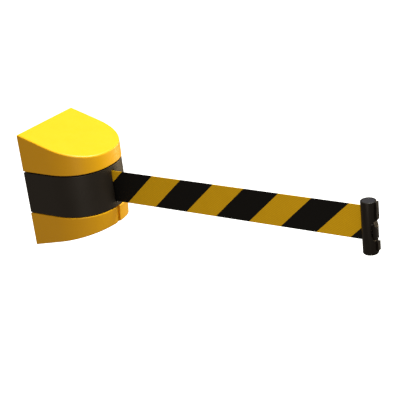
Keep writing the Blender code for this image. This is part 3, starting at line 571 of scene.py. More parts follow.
brake_low, brake_high = levels("brake_drum")
web = brake_high - 0.002
drum_profile = [(0.0085, web), (0.0280, web), (0.0285, web - 0.0005), (0.0285, brake_low),
    (0.0305, brake_low), (0.0305, web - 0.0006), (0.0311, web), (0.038, web),
    (0.038, brake_high - EASED), (0.038 - EASED, brake_high), (0.0085, brake_high)]
brake_drum = piece("brake_drum_pressed", turned(drum_profile, REEL_AXIS, 128), ZINC_STEEL)
carve(brake_drum, *[rod(SMALL_HOLE, -0.04, -0.03, (side * BRAKE_SCREW_X, REEL_Y))
    for side in (-1, 1)])
fitted(brake_drum, "casing", "zinc_steel", "brake_drum")

low, high = levels("brake_carrier")
arm = [(0.025 * cos(2 * pi * i / 96), REEL_Y + 0.009 * sin(2 * pi * i / 96)) for i in range(96)]
carrier = on_reel("brake_arm", eased_block(arm, low, high, 0.0003), ZINC_STEEL, "zinc_steel",
    "brake_carrier")
carve(carrier, rod(BORE, -0.05, -0.03, REEL_AXIS),
    *[rod(SMALL_HOLE, -0.05, -0.03, (side * SHOE_PIVOT, REEL_Y)) for side in (-1, 1)])
CAST_ZINC = cast_zinc()
LINING = friction_lining()
shoe_low, shoe_high = levels("brake_shoe_1")
for number, turn in ((1, 0), (2, 180)):
    pivot = (SHOE_PIVOT * cos(radians(turn)), REEL_Y)
    weight = (arc(REEL_AXIS, SHOE_OUTER, turn - 12, turn + 150, 64)
        + arc(REEL_AXIS, SHOE_INNER, turn + 150, turn - 12, 64))
    shoe = piece(f"brake_shoe_{number}_cast", eased_block(weight, shoe_low, shoe_high, 0.0004),
        CAST_ZINC)
    carve(shoe, rod(SMALL_HOLE, -0.06, -0.03, pivot))
    strip = (arc(REEL_AXIS, LINING_OUTER, turn + 30, turn + 145, 64)
        + arc(REEL_AXIS, SHOE_OUTER + FIT, turn + 145, turn + 30, 64))
    pad = piece(f"brake_lining_{number}", eased_block(strip, shoe_low, shoe_high, 0.0002), LINING)
    for made, node, slot in ((shoe, f"brake_shoe_{number}", "zinc_casting"),
        (pad, f"brake_pad_{number}", "brake_lining")):
        fitted(made, f"brake_shoe_{number}", slot, node)
    foot, head = levels(f"brake_pin_{number}")
    neck = head - 0.0007
    pin_shape = [(0, foot), (0.0012, foot), (0.0015, foot + EASED), (0.0015, neck), (0.0026, neck),
        (0.0026, head - 0.0002), (0.0024, head), (0, head)]
    on_reel(f"shoe_pin_{number}", turned(pin_shape, pivot, 40), ZINC_STEEL, "zinc_steel",
        f"brake_pin_{number}")

# ----------------------------------------
# Guide rollers: two nylon sleeves on steel pins behind the slot. The belt turns round the
# right one on its way out, and either one takes it when it is pulled to a side.
ROLLER_X = 0.0049
ROLLER_Y = -0.110
ROLLER_RADIUS = 0.004


def white_nylon():
    """Nylon 6, moulded: warm white, waxy and slightly translucent, dulled where belt rubs."""
    made, tree, shader, place = start_material("nylon_moulded_white")
    rubbed = add_node(tree, "ShaderNodeTexNoise", {"Vector": place, "Scale": 180.0, "Detail": 4.0})
    tone = add_node(tree, "ShaderNodeMix", {0: rubbed.outputs["Fac"], 6: srgb("#DAD6C8"),
        7: srgb("#EEEBE0")}, data_type="RGBA")
    rough = add_node(tree, "ShaderNodeMapRange", {"Value": rubbed.outputs["Fac"], "To Min": 0.32,
        "To Max": 0.52})
    feed(shader, {"Base Color": tone.outputs[2], "Roughness": rough.outputs["Result"], "IOR": 1.53,
        "Subsurface Weight": 0.15, "Subsurface Scale": 0.001})
    return made


NYLON = white_nylon()
for side, x in (("left", -ROLLER_X), ("right", ROLLER_X)):
    centre = (x, ROLLER_Y)
    low, high = levels(f"guide_pin_{side}")
    pin = piece(f"roller_pin_{side}", turned([(0, low), (0.0012, low), (0.0015, low + EASED),
        (0.0015, high - EASED), (0.0012, high), (0, high)], centre, 40), ZINC_STEEL)
    low, high = levels(f"guide_roller_{side}")
    roller = piece(f"roller_sleeve_{side}", turned([(0.0018, low), (ROLLER_RADIUS - 0.0004, low),
        (ROLLER_RADIUS, low + 0.0004), (ROLLER_RADIUS, high - 0.0004),
        (ROLLER_RADIUS - 0.0004, high), (0.0018, high)], centre, 64), NYLON)
    for made, body, node, slot in ((pin, "casing", f"guide_pin_{side}", "zinc_steel"),
        (roller, f"roller_{side}", f"guide_roller_{side}", "white_nylon")):
        fitted(made, body, slot, node)

# ----------------------------------------
# Belt: one strip of 50 mm polyester webbing, woven, dyed yellow and printed with black
# diagonal bars. From the coil it runs round the right guide roller, out and to the clip.
belt_low, belt_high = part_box("belt_coil")
BELT_WIDTH = belt_high.z - belt_low.z
COIL_RADIUS = belt_high.x
COIL_TURNS = 31
BELT_THICKNESS = 0.0008
YELLOW_BAR = 0.0504
BLACK_BAR = 0.0551
BAR_START = 0.1370                           # a black bar's start on the top edge, from the wall
BAR_LEAN = 1.035                             # how far a bar runs back for its drop


def new_group(name, kinds):
    """A Geometry Nodes group with named inputs, the last of them the finish."""
    tree = bpy.data.node_groups.new(name, "GeometryNodeTree")
    for label, kind in {**kinds, "Finish": "Material"}.items():
        tree.interface.new_socket(label, in_out="INPUT", socket_type="NodeSocket" + kind)
    tree.interface.new_socket("Geometry", in_out="OUTPUT", socket_type="NodeSocketGeometry")
    return tree, add_node(tree, "NodeGroupInput").outputs


def close_group(tree, geometry, finish):
    """Ends a group: its instances are made real, and every face gets the finish."""
    whole = add_node(tree, "GeometryNodeRealizeInstances", {"Geometry": geometry})
    coated = add_node(tree, "GeometryNodeSetMaterial", {"Geometry": whole.outputs["Geometry"],
        "Material": finish})
    add_node(tree, "NodeGroupOutput", {"Geometry": coated.outputs["Geometry"]})
    return tree


def spiral_tree():
    """A flat strip wound in a spiral about the vertical axis, on edge."""
    tree, size = new_group("wound_strip", {"Turns": "Float", "Inner Radius": "Float",
        "Outer Radius": "Float", "Strip Height": "Float", "Strip Thickness": "Float",
        "Points": "Int"})
    line = add_node(tree, "GeometryNodeCurveSpiral", {"Resolution": size["Points"],
        "Rotations": size["Turns"], "Start Radius": size["Inner Radius"],
        "End Radius": size["Outer Radius"], "Height": 0.0, "Reverse": True})
    upright = add_node(tree, "GeometryNodeSetCurveNormal", {"Curve": line.outputs["Curve"]},
        mode="Z_UP")
    section = add_node(tree, "GeometryNodeCurvePrimitiveQuadrilateral",
        {"Width": size["Strip Thickness"], "Height": size["Strip Height"]})
    strip = add_node(tree, "GeometryNodeCurveToMesh", {"Curve": upright.outputs["Curve"],
        "Profile Curve": section.outputs["Curve"], "Fill Caps": True})
    return close_group(tree, strip.outputs["Mesh"], size["Finish"])


def grown(name, tree, values, start=None, turn=None):
    """Runs a Geometry Nodes tree on a starting mesh, and keeps the result as a plain mesh."""
    made = bpy.data.objects.new(name, start or bpy.data.meshes.new(name))
    bpy.context.scene.collection.objects.link(made)
    change = made.modifiers.new(name, "NODES")
    change.node_group = tree
    for label, value in values.items():
        change[tree.interface.items_tree[label].identifier] = value
    seen = made.evaluated_get(bpy.context.evaluated_depsgraph_get())
    mesh = bpy.data.meshes.new_from_object(seen)
    made.modifiers.clear()
    made.data = mesh
    if turn:
        mesh.transform(turn)
    bm = bmesh.new()
    bm.from_mesh(mesh)
    bmesh.ops.recalc_face_normals(bm, faces=bm.faces)
    bm.to_mesh(mesh)
    bm.free()
    shade(mesh)
    return made


def lead_path():
    """From the coil, round the right roller, to the slot, seen from above."""
    meet = Vector((coil_line * cos(LEAD_TURN), REEL_Y - coil_line * sin(LEAD_TURN)))
    angles = [LEAD_TURN * i / 12 for i in range(12, -1, -1)]
    bend = [Vector((ROLLER_X - ROLLER_X * cos(a), ROLLER_Y + ROLLER_X * sin(a))) for a in angles]
    straight = [meet.lerp(bend[0], i / 8) for i in range(8)]
    return straight + bend


def webbing_strip(path):
    """Sweeps the belt's section, on edge, along a path; its woven edges are slightly full."""
    half, flat = BELT_WIDTH / 2, BELT_THICKNESS / 2
    upper = [(0.0, flat), (half - 0.0030, flat * 0.94), (half - 0.0018, flat),
        (half - 0.0008, flat), (half - 0.0002, flat * 0.7), (half, 0.0)]
    loop = upper + [(z, -off) for z, off in reversed(upper[:-1])]
    loop += [(-z, -off) for z, off in upper[1:]] + [(-z, off) for z, off in reversed(upper[1:-1])]
    bm = bmesh.new()
    rows = []
    for i, here in enumerate(path):
        along = (path[min(i + 1, len(path) - 1)] - path[max(i - 1, 0)]).normalized()
        side = Vector((-along.y, along.x))
        rows.append([bm.verts.new((here.x + side.x * off, here.y + side.y * off, z))
            for z, off in loop])
    for here, there in zip(rows, rows[1:]):
        for k in range(len(loop)):
            j = (k + 1) % len(loop)
            bm.faces.new((here[k], here[j], there[j], there[k]))
    bm.faces.new(rows[0])
    bm.faces.new(rows[-1])
    return bm


def printed_webbing():
    """Polyester webbing in a 2 by 2 twill of about 0.7 mm, drawn at 1.2 mm so that it shows.
    Its colour carries painted shade in the weave's hollows and a faint painted highlight on its
    ridges. Filament yarn has a slight sheen, and the black print sits in the weave, so that its
    edge follows the yarns and it is a little smoother than the yellow cloth."""
    made, tree, shader, place = start_material("polyester_webbing_printed")
    split = add_node(tree, "ShaderNodeSeparateXYZ", {"Vector": place})
    across, up = split.outputs["Y"], split.outputs["Z"]
    ragged = add_node(tree, "ShaderNodeTexNoise", {"Vector": place, "Scale": 900.0, "Detail": 1.0})
    jog = add_node(tree, "ShaderNodeMath", {0: ragged.outputs["Fac"], 1: 0.0006},
        operation="MULTIPLY")
    back_run = add_node(tree, "ShaderNodeMath", {0: up, 1: -BAR_LEAN,
        2: BAR_LEAN * BELT_WIDTH / 2 - BAR_START}, operation="MULTIPLY_ADD")
    far = add_node(tree, "ShaderNodeMath", {0: back_run.outputs[0], 1: across},
        operation="SUBTRACT")
    far = add_node(tree, "ShaderNodeMath", {0: far.outputs[0], 1: jog.outputs[0]}, operation="ADD")
    pitch = YELLOW_BAR + BLACK_BAR
    share = add_node(tree, "ShaderNodeMath", {0: far.outputs[0], 1: 1 / pitch},
        operation="MULTIPLY")
    share = add_node(tree, "ShaderNodeMath", {0: share.outputs[0]}, operation="FRACT")
    black = add_node(tree, "ShaderNodeMath", {0: share.outputs[0], 1: BLACK_BAR / pitch},
        operation="LESS_THAN")
    twill = add_node(tree, "ShaderNodeMapping", {"Vector": place,
        "Rotation": (radians(38), 0.0, 0.0)})
    ribs = add_node(tree, "ShaderNodeTexWave", {"Vector": twill.outputs["Vector"], "Scale": 130.0,
        "Distortion": 0.6, "Detail": 1.0}, bands_direction="Z")
    yarns = add_node(tree, "ShaderNodeTexWave", {"Vector": place, "Scale": 260.0,
        "Distortion": 0.3}, bands_direction="Z")
    weave = add_node(tree, "ShaderNodeMath", {0: ribs.outputs["Fac"], 1: yarns.outputs["Fac"]},
        operation="ADD")
    worn = add_node(tree, "ShaderNodeTexNoise", {"Vector": place, "Scale": 45.0, "Detail": 5.0})
    dye_and_weave_shade = add_node(tree, "ShaderNodeMix", {0: worn.outputs["Fac"], 6: srgb("#E6B410"),
        7: srgb("#F0BE18")}, data_type="RGBA")
    # Painted shade and highlight: the dye is multiplied by the weave, darkened to 0.8 in its
    # hollows and lightened to 1.08 on its ridges.
    shade = add_node(tree, "ShaderNodeMapRange", {"Value": weave.outputs[0], "From Max": 2.0,
        "To Min": 0.80, "To Max": 1.08})
    dye_and_weave_shade = add_node(tree, "ShaderNodeMix", {0: 1.0, 6: dye_and_weave_shade.outputs[2],
        7: shade.outputs["Result"]}, data_type="RGBA", blend_type="MULTIPLY")
    colour = add_node(tree, "ShaderNodeMix", {0: black.outputs[0], 6: dye_and_weave_shade.outputs[2],
        7: srgb("#0B0A0A")}, data_type="RGBA")
    rough = add_node(tree, "ShaderNodeMapRange", {"Value": black.outputs[0], "To Min": 0.78,
        "To Max": 0.62})
    bump = add_node(tree, "ShaderNodeBump", {"Height": weave.outputs[0], "Strength": 0.5,
        "Distance": 0.0002})
    feed(shader, {"Base Color": colour.outputs[2], "Roughness": rough.outputs["Result"],
        "Normal": bump.outputs["Normal"], "Specular IOR Level": 0.15})
    return made


WEBBING = printed_webbing()
SPIRAL = spiral_tree()
run_to_roller = REEL_Y - ROLLER_Y
coil_line = COIL_RADIUS + BELT_THICKNESS / 2 + FIT
LEAD_TURN = (asin((coil_line + ROLLER_X) / hypot(ROLLER_X, run_to_roller))
    - atan2(ROLLER_X, run_to_roller))
coil = grown("belt_coil_wound", SPIRAL, {"Turns": COIL_TURNS,
    "Inner Radius": HUB_RADIUS + FIT + BELT_THICKNESS / 2,
    "Outer Radius": COIL_RADIUS - BELT_THICKNESS / 2, "Strip Height": BELT_WIDTH,
    "Strip Thickness": BELT_THICKNESS - 0.0001, "Points": 72, "Finish": WEBBING},
    turn=Matrix.Translation((0, REEL_Y, 0)) @ Matrix.Rotation(-LEAD_TURN, 4, "Z"))
fitted(coil, "reel", "polyester_webbing", "belt_coil")
BELT_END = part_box("belt_run")[0].y
feed_start = -DEPTH - 0.0016
outer_run = [Vector((0.0, feed_start + (BELT_END - feed_start) * i / 80)) for i in range(81)]
belt_path = lead_path() + outer_run
belt = piece("belt_webbing", webbing_strip(belt_path), WEBBING)
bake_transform(belt)
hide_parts("belt_lead", "belt_run")

# ----------------------------------------
# Cassette lid: a flat moulded plate let into the top of the band, 1.7 mm proud of it. Four
# screws hold it down on the posts, and it carries the upper bush and the spring drum.
DRUM_SCREWS = [(0.045 * cos(radians(a)), REEL_Y + 0.045 * sin(radians(a))) for a in (95, 215, 335)]


def lid_ring(inset, height):
    edge = BAND_INSET + BAND_WALL + FIT + inset
    return [(x, y, height) for x, y in plan(edge, rear=lid_high.y - inset)]


lid = piece("cassette_lid_moulded", stacked([lid_ring(0.0004, lid_low.z),
    lid_ring(0.0, lid_low.z + 0.0004), lid_ring(0.0, lid_high.z - 0.0006),
    lid_ring(0.0006, lid_high.z)]), BLACK)
holes = [rod(BUSH_RADIUS + FIT, 0, 0.05, REEL_AXIS, 64)]
holes += [rod(SMALL_HOLE, 0, 0.05, place, 24) for place in LID_POSTS + DRUM_SCREWS]
carve(lid, *holes)
fitted(lid, "casing", "black_abs", "cassette_lid")

# ----------------------------------------
# Mainspring and drum: a band of blued spring steel wound between the arbor and the wall
# of a moulded drum, which is screwed to the lid and closed by a steel cover.
DRUM_WALL = 0.002
SPRING_TURNS = 14
SPRING_THICKNESS = 0.0005


def blued_spring_steel():
    """Carbon steel strip, hardened and blued in the temper: dark slate blue with straw and
    violet drifting along it, and a satin rolled skin."""
    made, tree, shader, place = start_material("spring_steel_blued")
    drift = add_node(tree, "ShaderNodeTexNoise", {"Vector": place, "Scale": 70.0, "Detail": 3.0})
    temper = add_node(tree, "ShaderNodeValToRGB", {"Fac": drift.outputs["Fac"]})
    for stop, at, code in zip(temper.color_ramp.elements, (0.35, 0.70), ("#3F4A63", "#6C5F62")):
        stop.position, stop.color = at, srgb(code)
    feed(shader, {"Base Color": temper.outputs["Color"], "Metallic": 1.0, "Roughness": 0.30})
    return made


BLUED_STEEL = blued_spring_steel()
drum_low, drum_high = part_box("spring_drum")
flange, floor_top = drum_high.x, drum_low.z + 0.0024
cover_low, cover_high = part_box("spring_cover")
wall = cover_high.x
drum = piece("mainspring_drum", turned([(0.0085, drum_low.z), (flange - 0.0005, drum_low.z),
    (flange, drum_low.z + 0.0005), (flange, floor_top - 0.0005), (flange - 0.0005, floor_top),
    (wall + 0.0008, floor_top), (wall, floor_top + 0.0008), (wall, drum_high.z - EASED),
    (wall - EASED, drum_high.z), (wall - DRUM_WALL + EASED, drum_high.z),
    (wall - DRUM_WALL, drum_high.z - EASED), (wall - DRUM_WALL, floor_top), (0.0085, floor_top)],
    REEL_AXIS, 128), BLACK)
carve(drum, *[rod(SMALL_HOLE, 0.03, 0.05, place, 24) for place in DRUM_SCREWS])
fitted(drum, "casing", "black_abs", "spring_drum")
cover = piece("mainspring_cover", eased_tube(BORE, wall, cover_low.z, cover_high.z, REEL_AXIS,
    128), ZINC_STEEL)
fitted(cover, "casing", "zinc_steel", "spring_cover")
spring_low, spring_high = levels("mainspring")
mainspring = grown("mainspring_wound", SPIRAL, {"Turns": SPRING_TURNS,
    "Inner Radius": arbor_radius + FIT + SPRING_THICKNESS / 2,
    "Outer Radius": wall - DRUM_WALL - FIT - SPRING_THICKNESS / 2,
    "Strip Height": spring_high - spring_low, "Strip Thickness": SPRING_THICKNESS, "Points": 72,
    "Finish": BLUED_STEEL}, turn=Matrix.Translation((0, REEL_Y, (spring_low + spring_high) / 2)))
fitted(mainspring, "casing", "spring_steel", "mainspring")

# ----------------------------------------
# Top cap: an ABS cover, injection moulded, open at the back and below. It has one
# sloping roof with a rounded edge, and two bosses inside that take the plate's screws.
cap_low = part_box("top_cap")[0]
COVER_WALL = 0.0025
ROOF_SLOPE = 0.30
ROOF_ROUND = 0.0024
BOSS_RADIUS = 0.0041


def boss_and_rib(side, z):
    """A round boss that takes a screw through the plate, and the rib that ties it to the wall."""
    boss = along_y(rod(BOSS_RADIUS, 0.0, 0.015, steps=40), side * COVER_SCREW_X, z, band_back)
    xs = sorted((side * COVER_SCREW_X, side * (HALF_WIDTH + 0.004)))
    rib = block((xs[0], PLATE_FRONT - 0.013, z - 0.001), (xs[1], band_back, z + 0.001))
    return boss, rib


def hollow_out(hollow, height):
    """The room inside a cover, with two bosses and their ribs left standing in it."""
    inside = piece("inside", hollow)
    for side in (-1, 1):
        boss, rib = boss_and_rib(side, height)
        carve(inside, boss, rib)
    return inside


def yellow_abs():
    """ABS, moulded in signal yellow against a polished steel tool. The skin is satin with a
    faint orange peel of 1 to 2 mm, and handling has dulled it unevenly. It stays deep
    orange where it turns from the light, as pigmented plastic does."""
    made, tree, shader, place = start_material("yellow_abs_moulded")
    flow = add_node(tree, "ShaderNodeTexNoise", {"Vector": place, "Scale": 28.0, "Detail": 3.0})
    colour = add_node(tree, "ShaderNodeMix", {0: flow.outputs["Fac"], 6: srgb("#E4A70E"),
        7: srgb("#E9AD14")}, data_type="RGBA")
    handled = add_node(tree, "ShaderNodeTexNoise", {"Vector": place, "Scale": 90.0, "Detail": 6.0,
        "Roughness": 0.65})
    dull = add_node(tree, "ShaderNodeMapRange", {"Value": handled.outputs["Fac"], "From Min": 0.3,
        "From Max": 0.75, "To Min": 0.33, "To Max": 0.45})
    peel = add_node(tree, "ShaderNodeTexNoise", {"Vector": place, "Scale": 750.0, "Detail": 1.0})
    bump = add_node(tree, "ShaderNodeBump", {"Height": peel.outputs["Fac"], "Strength": 0.12,
        "Distance": 0.0002})
    feed(shader, {"Base Color": colour.outputs[2], "Roughness": dull.outputs["Result"],
        "Normal": bump.outputs["Normal"], "IOR": 1.53, "Specular IOR Level": 0.3})
    return made


def rounded(radius, steps=6):
    """(inset, drop) pairs round a quarter circle, from the wall's line to the flat's."""
    angles = [pi / 2 * k / steps for k in range(steps + 1)]
    return [(radius * (1 - cos(a)), radius * (1 - sin(a))) for a in angles]


def cap_ring(inset, drop=None, height=None):
    outline = plan(inset, rear=-inset)
    if height is not None:
        return [(x, y, height) for x, y in outline]
    return [(x, y, cap_high.z + ROOF_SLOPE * y - drop) for x, y in outline]


YELLOW = yellow_abs()
cap_rings = [cap_ring(0.0006, height=cap_low.z), cap_ring(0.0001, height=cap_low.z + 0.0002),
    cap_ring(0.0, height=cap_low.z + 0.0006), cap_ring(0.0, height=cap_low.z + 0.0014),
    cap_ring(0.0, drop=ROOF_ROUND + 0.0008)]
cap_rings += [cap_ring(inset, drop=drop) for inset, drop in rounded(ROOF_ROUND)]
cap_rings += [cap_ring(ROOF_ROUND + 0.0006, drop=0.0)]
inner = plan(COVER_WALL, rear=0.01)
top_cap = piece("top_cap_cover", stacked(cap_rings), YELLOW)
inside = hollow_out(stacked([[(x, y, cap_low.z - 0.01) for x, y in inner],
    [(x, y, cap_high.z - COVER_WALL + ROOF_SLOPE * y) for x, y in inner]]), CAP_SCREW_Z)
carve(top_cap, inside, *[screw_hole(side * COVER_SCREW_X, CAP_SCREW_Z) for side in (-1, 1)])
fitted(top_cap, "casing", "yellow_abs", "top_cap")

# ----------------------------------------
# Lower housing: the cap's counterpart in the same ABS, with a sloping underside. Its nose
# leans back for the mould, and a dovetail groove down it takes another unit's clip.
housing_low, housing_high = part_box("lower_housing")
NOSE_DRAFT = 0.10                            # the nose leans back, per unit of depth
FLOOR_SLOPE = 0.2375
UNDER_ROUND = 0.0012
GROOVE_DEPTH = 0.0032
GROOVE_MOUTH = 0.0035
GROOVE_BACK = 0.0052
GROOVE_EDGE = 0.0006


def leaned(points, height):
    """Points at one height, set back by the draft of the nose."""
    lean = 1 - NOSE_DRAFT * (housing_high.z - height) / DEPTH
    return [(x, y * lean, height) for x, y in points]


def underside(outline, lift):
    """Points on the sloping underside, or that far above it, set back by the draft."""
    ring = []
    for x, y in outline:
        lean = NOSE_DRAFT * max(-y, 0) / DEPTH
        deep = housing_high.z - housing_low.z - lift
        set_back = -(-y - lean * deep) / (1 - lean * FLOOR_SLOPE) if y < 0 else y
        ring.append((x, set_back, housing_low.z + lift - FLOOR_SLOPE * set_back))
    return ring


def groove_outline(shift):
    """The groove seen from above, with its mouth's edges eased."""
    nose = -DEPTH + shift
    half = [(GROOVE_MOUTH + GROOVE_EDGE, nose - 0.01), (GROOVE_MOUTH + GROOVE_EDGE, nose),
        (GROOVE_MOUTH + 0.0002, nose + 0.0003), (GROOVE_MOUTH, nose + GROOVE_EDGE),
        (GROOVE_BACK, nose + GROOVE_DEPTH)]
    return half + [(-x, y) for x, y in reversed(half)]


housing_rings = [underside(plan(UNDER_ROUND + 0.0006, rear=-UNDER_ROUND - 0.0006), 0.0)]
housing_rings += [underside(plan(inset, rear=-inset), drop)
    for inset, drop in reversed(rounded(UNDER_ROUND, 4))]
housing_rings += [underside(plan(), UNDER_ROUND + 0.0008), leaned(plan(), housing_high.z - 0.0020),
    leaned(plan(), housing_high.z - 0.0012),
    leaned(plan(0.0003, rear=-0.0003), housing_high.z - 0.0003),
    leaned(plan(0.0012, rear=-0.0012), housing_high.z)]
lower_housing = piece("lower_housing_cover", stacked(housing_rings), YELLOW)
inner_low = underside(inner, COVER_WALL)
inside = hollow_out(stacked([inner_low, [(x, y, housing_high.z + 0.005) for x, y in inner]]),
    HOUSING_SCREW_Z)
carve(inside, block((-0.010, -DEPTH - 0.01, -0.09), (0.010, -0.1095, 0.0)))
groove = stacked([[(x, y, z) for x, y in groove_outline(NOSE_DRAFT * (housing_high.z - z))]
    for z in (-0.075, -0.020)])
carve(lower_housing, inside, screw_hole(-COVER_SCREW_X, HOUSING_SCREW_Z),
    screw_hole(COVER_SCREW_X, HOUSING_SCREW_Z), groove)
fitted(lower_housing, "casing", "yellow_abs", "lower_housing")

# ----------------------------------------
# Screws: zinc-plated, cross recessed. Six countersunk ones go through the plate into the
# covers and the cassette; pan-headed ones hold the lid, the spring drum and the brake.
def screw_blank(head, shank, length, recess):
    """One screw along the vertical axis, point down, with its head's top at height 0."""
    base = head[-1][1]
    profile = [(0, base - length), (shank * 0.45, base - length), (shank, base - length + 0.001)]
    bm = turned(profile + [(shank, base)] + list(reversed(head)) + [(0, 0.0)], steps=48)
    blank = piece("screw_blank", bm)
    for across, along in ((recess, recess * 0.24), (recess * 0.24, recess)):
        carve(blank, block((-across, -along, -0.0012), (across, along, 0.001)))
    return blank


def screw_tree():
    """A screw on each point of a mesh, each left at its own angle."""
    tree, given = new_group("screw_set", {"Places": "Geometry", "Screw": "Object",
        "Most Turn": "Float", "Seed": "Int"})
    angle = add_node(tree, "FunctionNodeRandomValue", {"Min": 0.0, "Max": given["Most Turn"],
        "Seed": given["Seed"]}, data_type="FLOAT")
    upright = add_node(tree, "ShaderNodeCombineXYZ", {"Z": angle.outputs["Value"]})
    spin = add_node(tree, "FunctionNodeEulerToRotation", {"Euler": upright.outputs["Vector"]})
    blank = add_node(tree, "GeometryNodeObjectInfo", {"Object": given["Screw"]})
    placed = add_node(tree, "GeometryNodeInstanceOnPoints", {"Points": given["Places"],
        "Instance": blank.outputs["Geometry"], "Rotation": spin.outputs["Rotation"]})
    return close_group(tree, placed.outputs["Instances"], given["Finish"])


def screw_set(name, blank, places, turn, seed, nodes):
    """Puts a screw at each place, given in the plane of the heads, and turns them into line."""
    points = bpy.data.meshes.new(name)
    points.from_pydata([(x, y, 0.0) for x, y in places], [], [])
    made = grown(name, SCREW_SET, {"Screw": blank, "Most Turn": 1.5, "Seed": seed,
        "Finish": ZINC_STEEL}, points, turn)
    fitted(made, "casing", "zinc_steel", *nodes)


SCREW_SET = screw_tree()
sunk_head = [(0.0034, 0.0), (0.0037, -0.0002), (0.0017, -0.0022)]
sunk_screw = screw_blank(sunk_head, 0.0017, 0.0113, 0.0019)
facing_back = Matrix.Translation((0, -0.0003, 0)) @ Matrix.Rotation(radians(-90), 4, "X")
screw_set("plate_screws_countersunk", sunk_screw, [(x, -z) for x, z in PLATE_SCREWS], facing_back,
    3, [f"plate_screw_{i}" for i in range(1, 7)])
pan_head = [(0.0018, -0.0001), (0.0023, -0.0004), (0.0027, -0.0010), (0.0028, -0.0016),
    (0.0028, -0.0019)]
lid_screw = screw_blank(pan_head, 0.0015, 0.0119, 0.0016)
screw_set("lid_screws_pan", lid_screw, LID_POSTS, Matrix.Translation(
    (0, 0, levels("lid_screw_1")[1])), 5, [f"lid_screw_{i}" for i in range(1, 5)])
drum_screw = screw_blank(pan_head, 0.0015, 0.0059, 0.0016)
screw_set("drum_screws_pan", drum_screw, DRUM_SCREWS, Matrix.Translation(
    (0, 0, levels("drum_screw_1")[1])), 7, [f"drum_screw_{i}" for i in range(1, 4)])
brake_screw = screw_blank(pan_head, 0.0015, 0.0044, 0.0016)
facing_down = (Matrix.Translation((0, 0, levels("brake_screw_1")[0]))
    @ Matrix.Rotation(pi, 4, "X"))
screw_set("brake_screws_pan", brake_screw, [(side * BRAKE_SCREW_X, -REEL_Y) for side in (-1, 1)],
    facing_down, 9, ["brake_screw_1", "brake_screw_2"])
for blank in (sunk_screw, lid_screw, drum_screw, brake_screw):
    bpy.data.objects.remove(blank, do_unlink=True)

# ----------------------------------------
# Clip: the grip on the belt's end, turned-looking but moulded in black ABS. The belt is
# looped round a pin inside. A scoop holds the thumb catch, and a rail below it fits the
# groove of another unit. A plug closes the top.
clip_low, clip_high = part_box("clip_body")
CLIP_Y = -0.536
CLIP_RADIUS = clip_high.x
CLIP_ROUND = 0.0013
BELT_PIN_Y = CLIP_Y + 0.002
SCOOP_Z = -0.0085
SCOOP_RADII = (0.0075, 0.0155)               # along Y and Z
SCOOP_DEEPEST = CLIP_Y - 0.0052
LEVER_PIVOT = (CLIP_Y - 0.0069, 0.0020)
LEVER_HALF_WIDTH = 0.0055
RAIL_LENGTHS = ((0.0075, 0.0322), (-0.0370, -0.0240))
RAIL_PROUD = 0.0022


def along_x(outline, half_width):
    """A solid whose outline is in the YZ plane, as wide to each side of x = 0."""
    return stacked([[(side * half_width, y, z) for y, z in outline] for side in (-1, 1)])


def oval(centre, radii, steps=48):
    return [(centre[0] + radii[0] * cos(2 * pi * i / steps),
        centre[1] + radii[1] * sin(2 * pi * i / steps)) for i in range(steps)]


def clip_abs():
    """ABS in black, moulded against a polished tool, so it is glossier than the casing's
    band; hands and posts have left fine rubs along it, about 0.2 mm wide."""
    made, tree, shader, place = start_material("clip_abs_polished")
    drawn = add_node(tree, "ShaderNodeMapping", {"Vector": place, "Scale": (1.0, 1.0, 0.08)})
    rubs = add_node(tree, "ShaderNodeTexNoise", {"Vector": drawn.outputs["Vector"], "Scale": 900.0,
        "Detail": 3.0})
    rough = add_node(tree, "ShaderNodeMapRange", {"Value": rubs.outputs["Fac"], "From Min": 0.35,
        "From Max": 0.75, "To Min": 0.34, "To Max": 0.50})
    tint = add_node(tree, "ShaderNodeMix", {0: rubs.outputs["Fac"], 6: srgb("#120E0B"),
        7: srgb("#18130F")}, data_type="RGBA")
    bump = add_node(tree, "ShaderNodeBump", {"Height": rubs.outputs["Fac"], "Strength": 0.10,
        "Distance": 0.0002})
    feed(shader, {"Base Color": tint.outputs[2], "Roughness": rough.outputs["Result"],
        "Normal": bump.outputs["Normal"], "IOR": 1.53, "Specular IOR Level": 0.22})
    return made


CLIP_BLACK = clip_abs()
profile = [(0, clip_low.z)] + [(CLIP_RADIUS - inset, clip_low.z + drop)
    for inset, drop in reversed(rounded(CLIP_ROUND))]
profile += [(CLIP_RADIUS - inset, clip_high.z - drop) for inset, drop in rounded(0.0009, 4)]
profile += [(0.0093, clip_high.z), (0.0091, clip_high.z - 0.0002), (0.0091, clip_high.z - 0.002),
    (0, clip_high.z - 0.002)]
clip = piece("clip_grip", turned(profile, (0, CLIP_Y), 96), CLIP_BLACK)
face = CLIP_Y - CLIP_RADIUS
rail_half = [(0.0028, face + 0.001), (0.0028, face - 0.0001), (0.0042, face - RAIL_PROUD + 0.0004),
    (0.0038, face - RAIL_PROUD)]
rail_outline = rail_half + [(-x, y) for x, y in reversed(rail_half)]
pocket = block((-LEVER_HALF_WIDTH - FIT, CLIP_Y - 0.02, -0.0212),
    (LEVER_HALF_WIDTH + FIT, CLIP_Y - 0.0023, 0.0050))
scoop = oval((SCOOP_DEEPEST - SCOOP_RADII[0], SCOOP_Z), SCOOP_RADII)
rails = [("UNION", prism(rail_outline, low, high)) for low, high in RAIL_LENGTHS]
carve(clip, *rails, block((-0.0012, BELT_PIN_Y, -0.0262), (0.0012, CLIP_Y + 0.03, 0.0262)),
    rod(0.0033, -0.06, 0.0275, (0, BELT_PIN_Y), 40), along_x(scoop, 0.02), pocket,
    along_x(oval(LEVER_PIVOT, (0.0013, 0.0013), 24), 0.0081))
fitted(clip, "clip", "clip_abs", "clip_body")


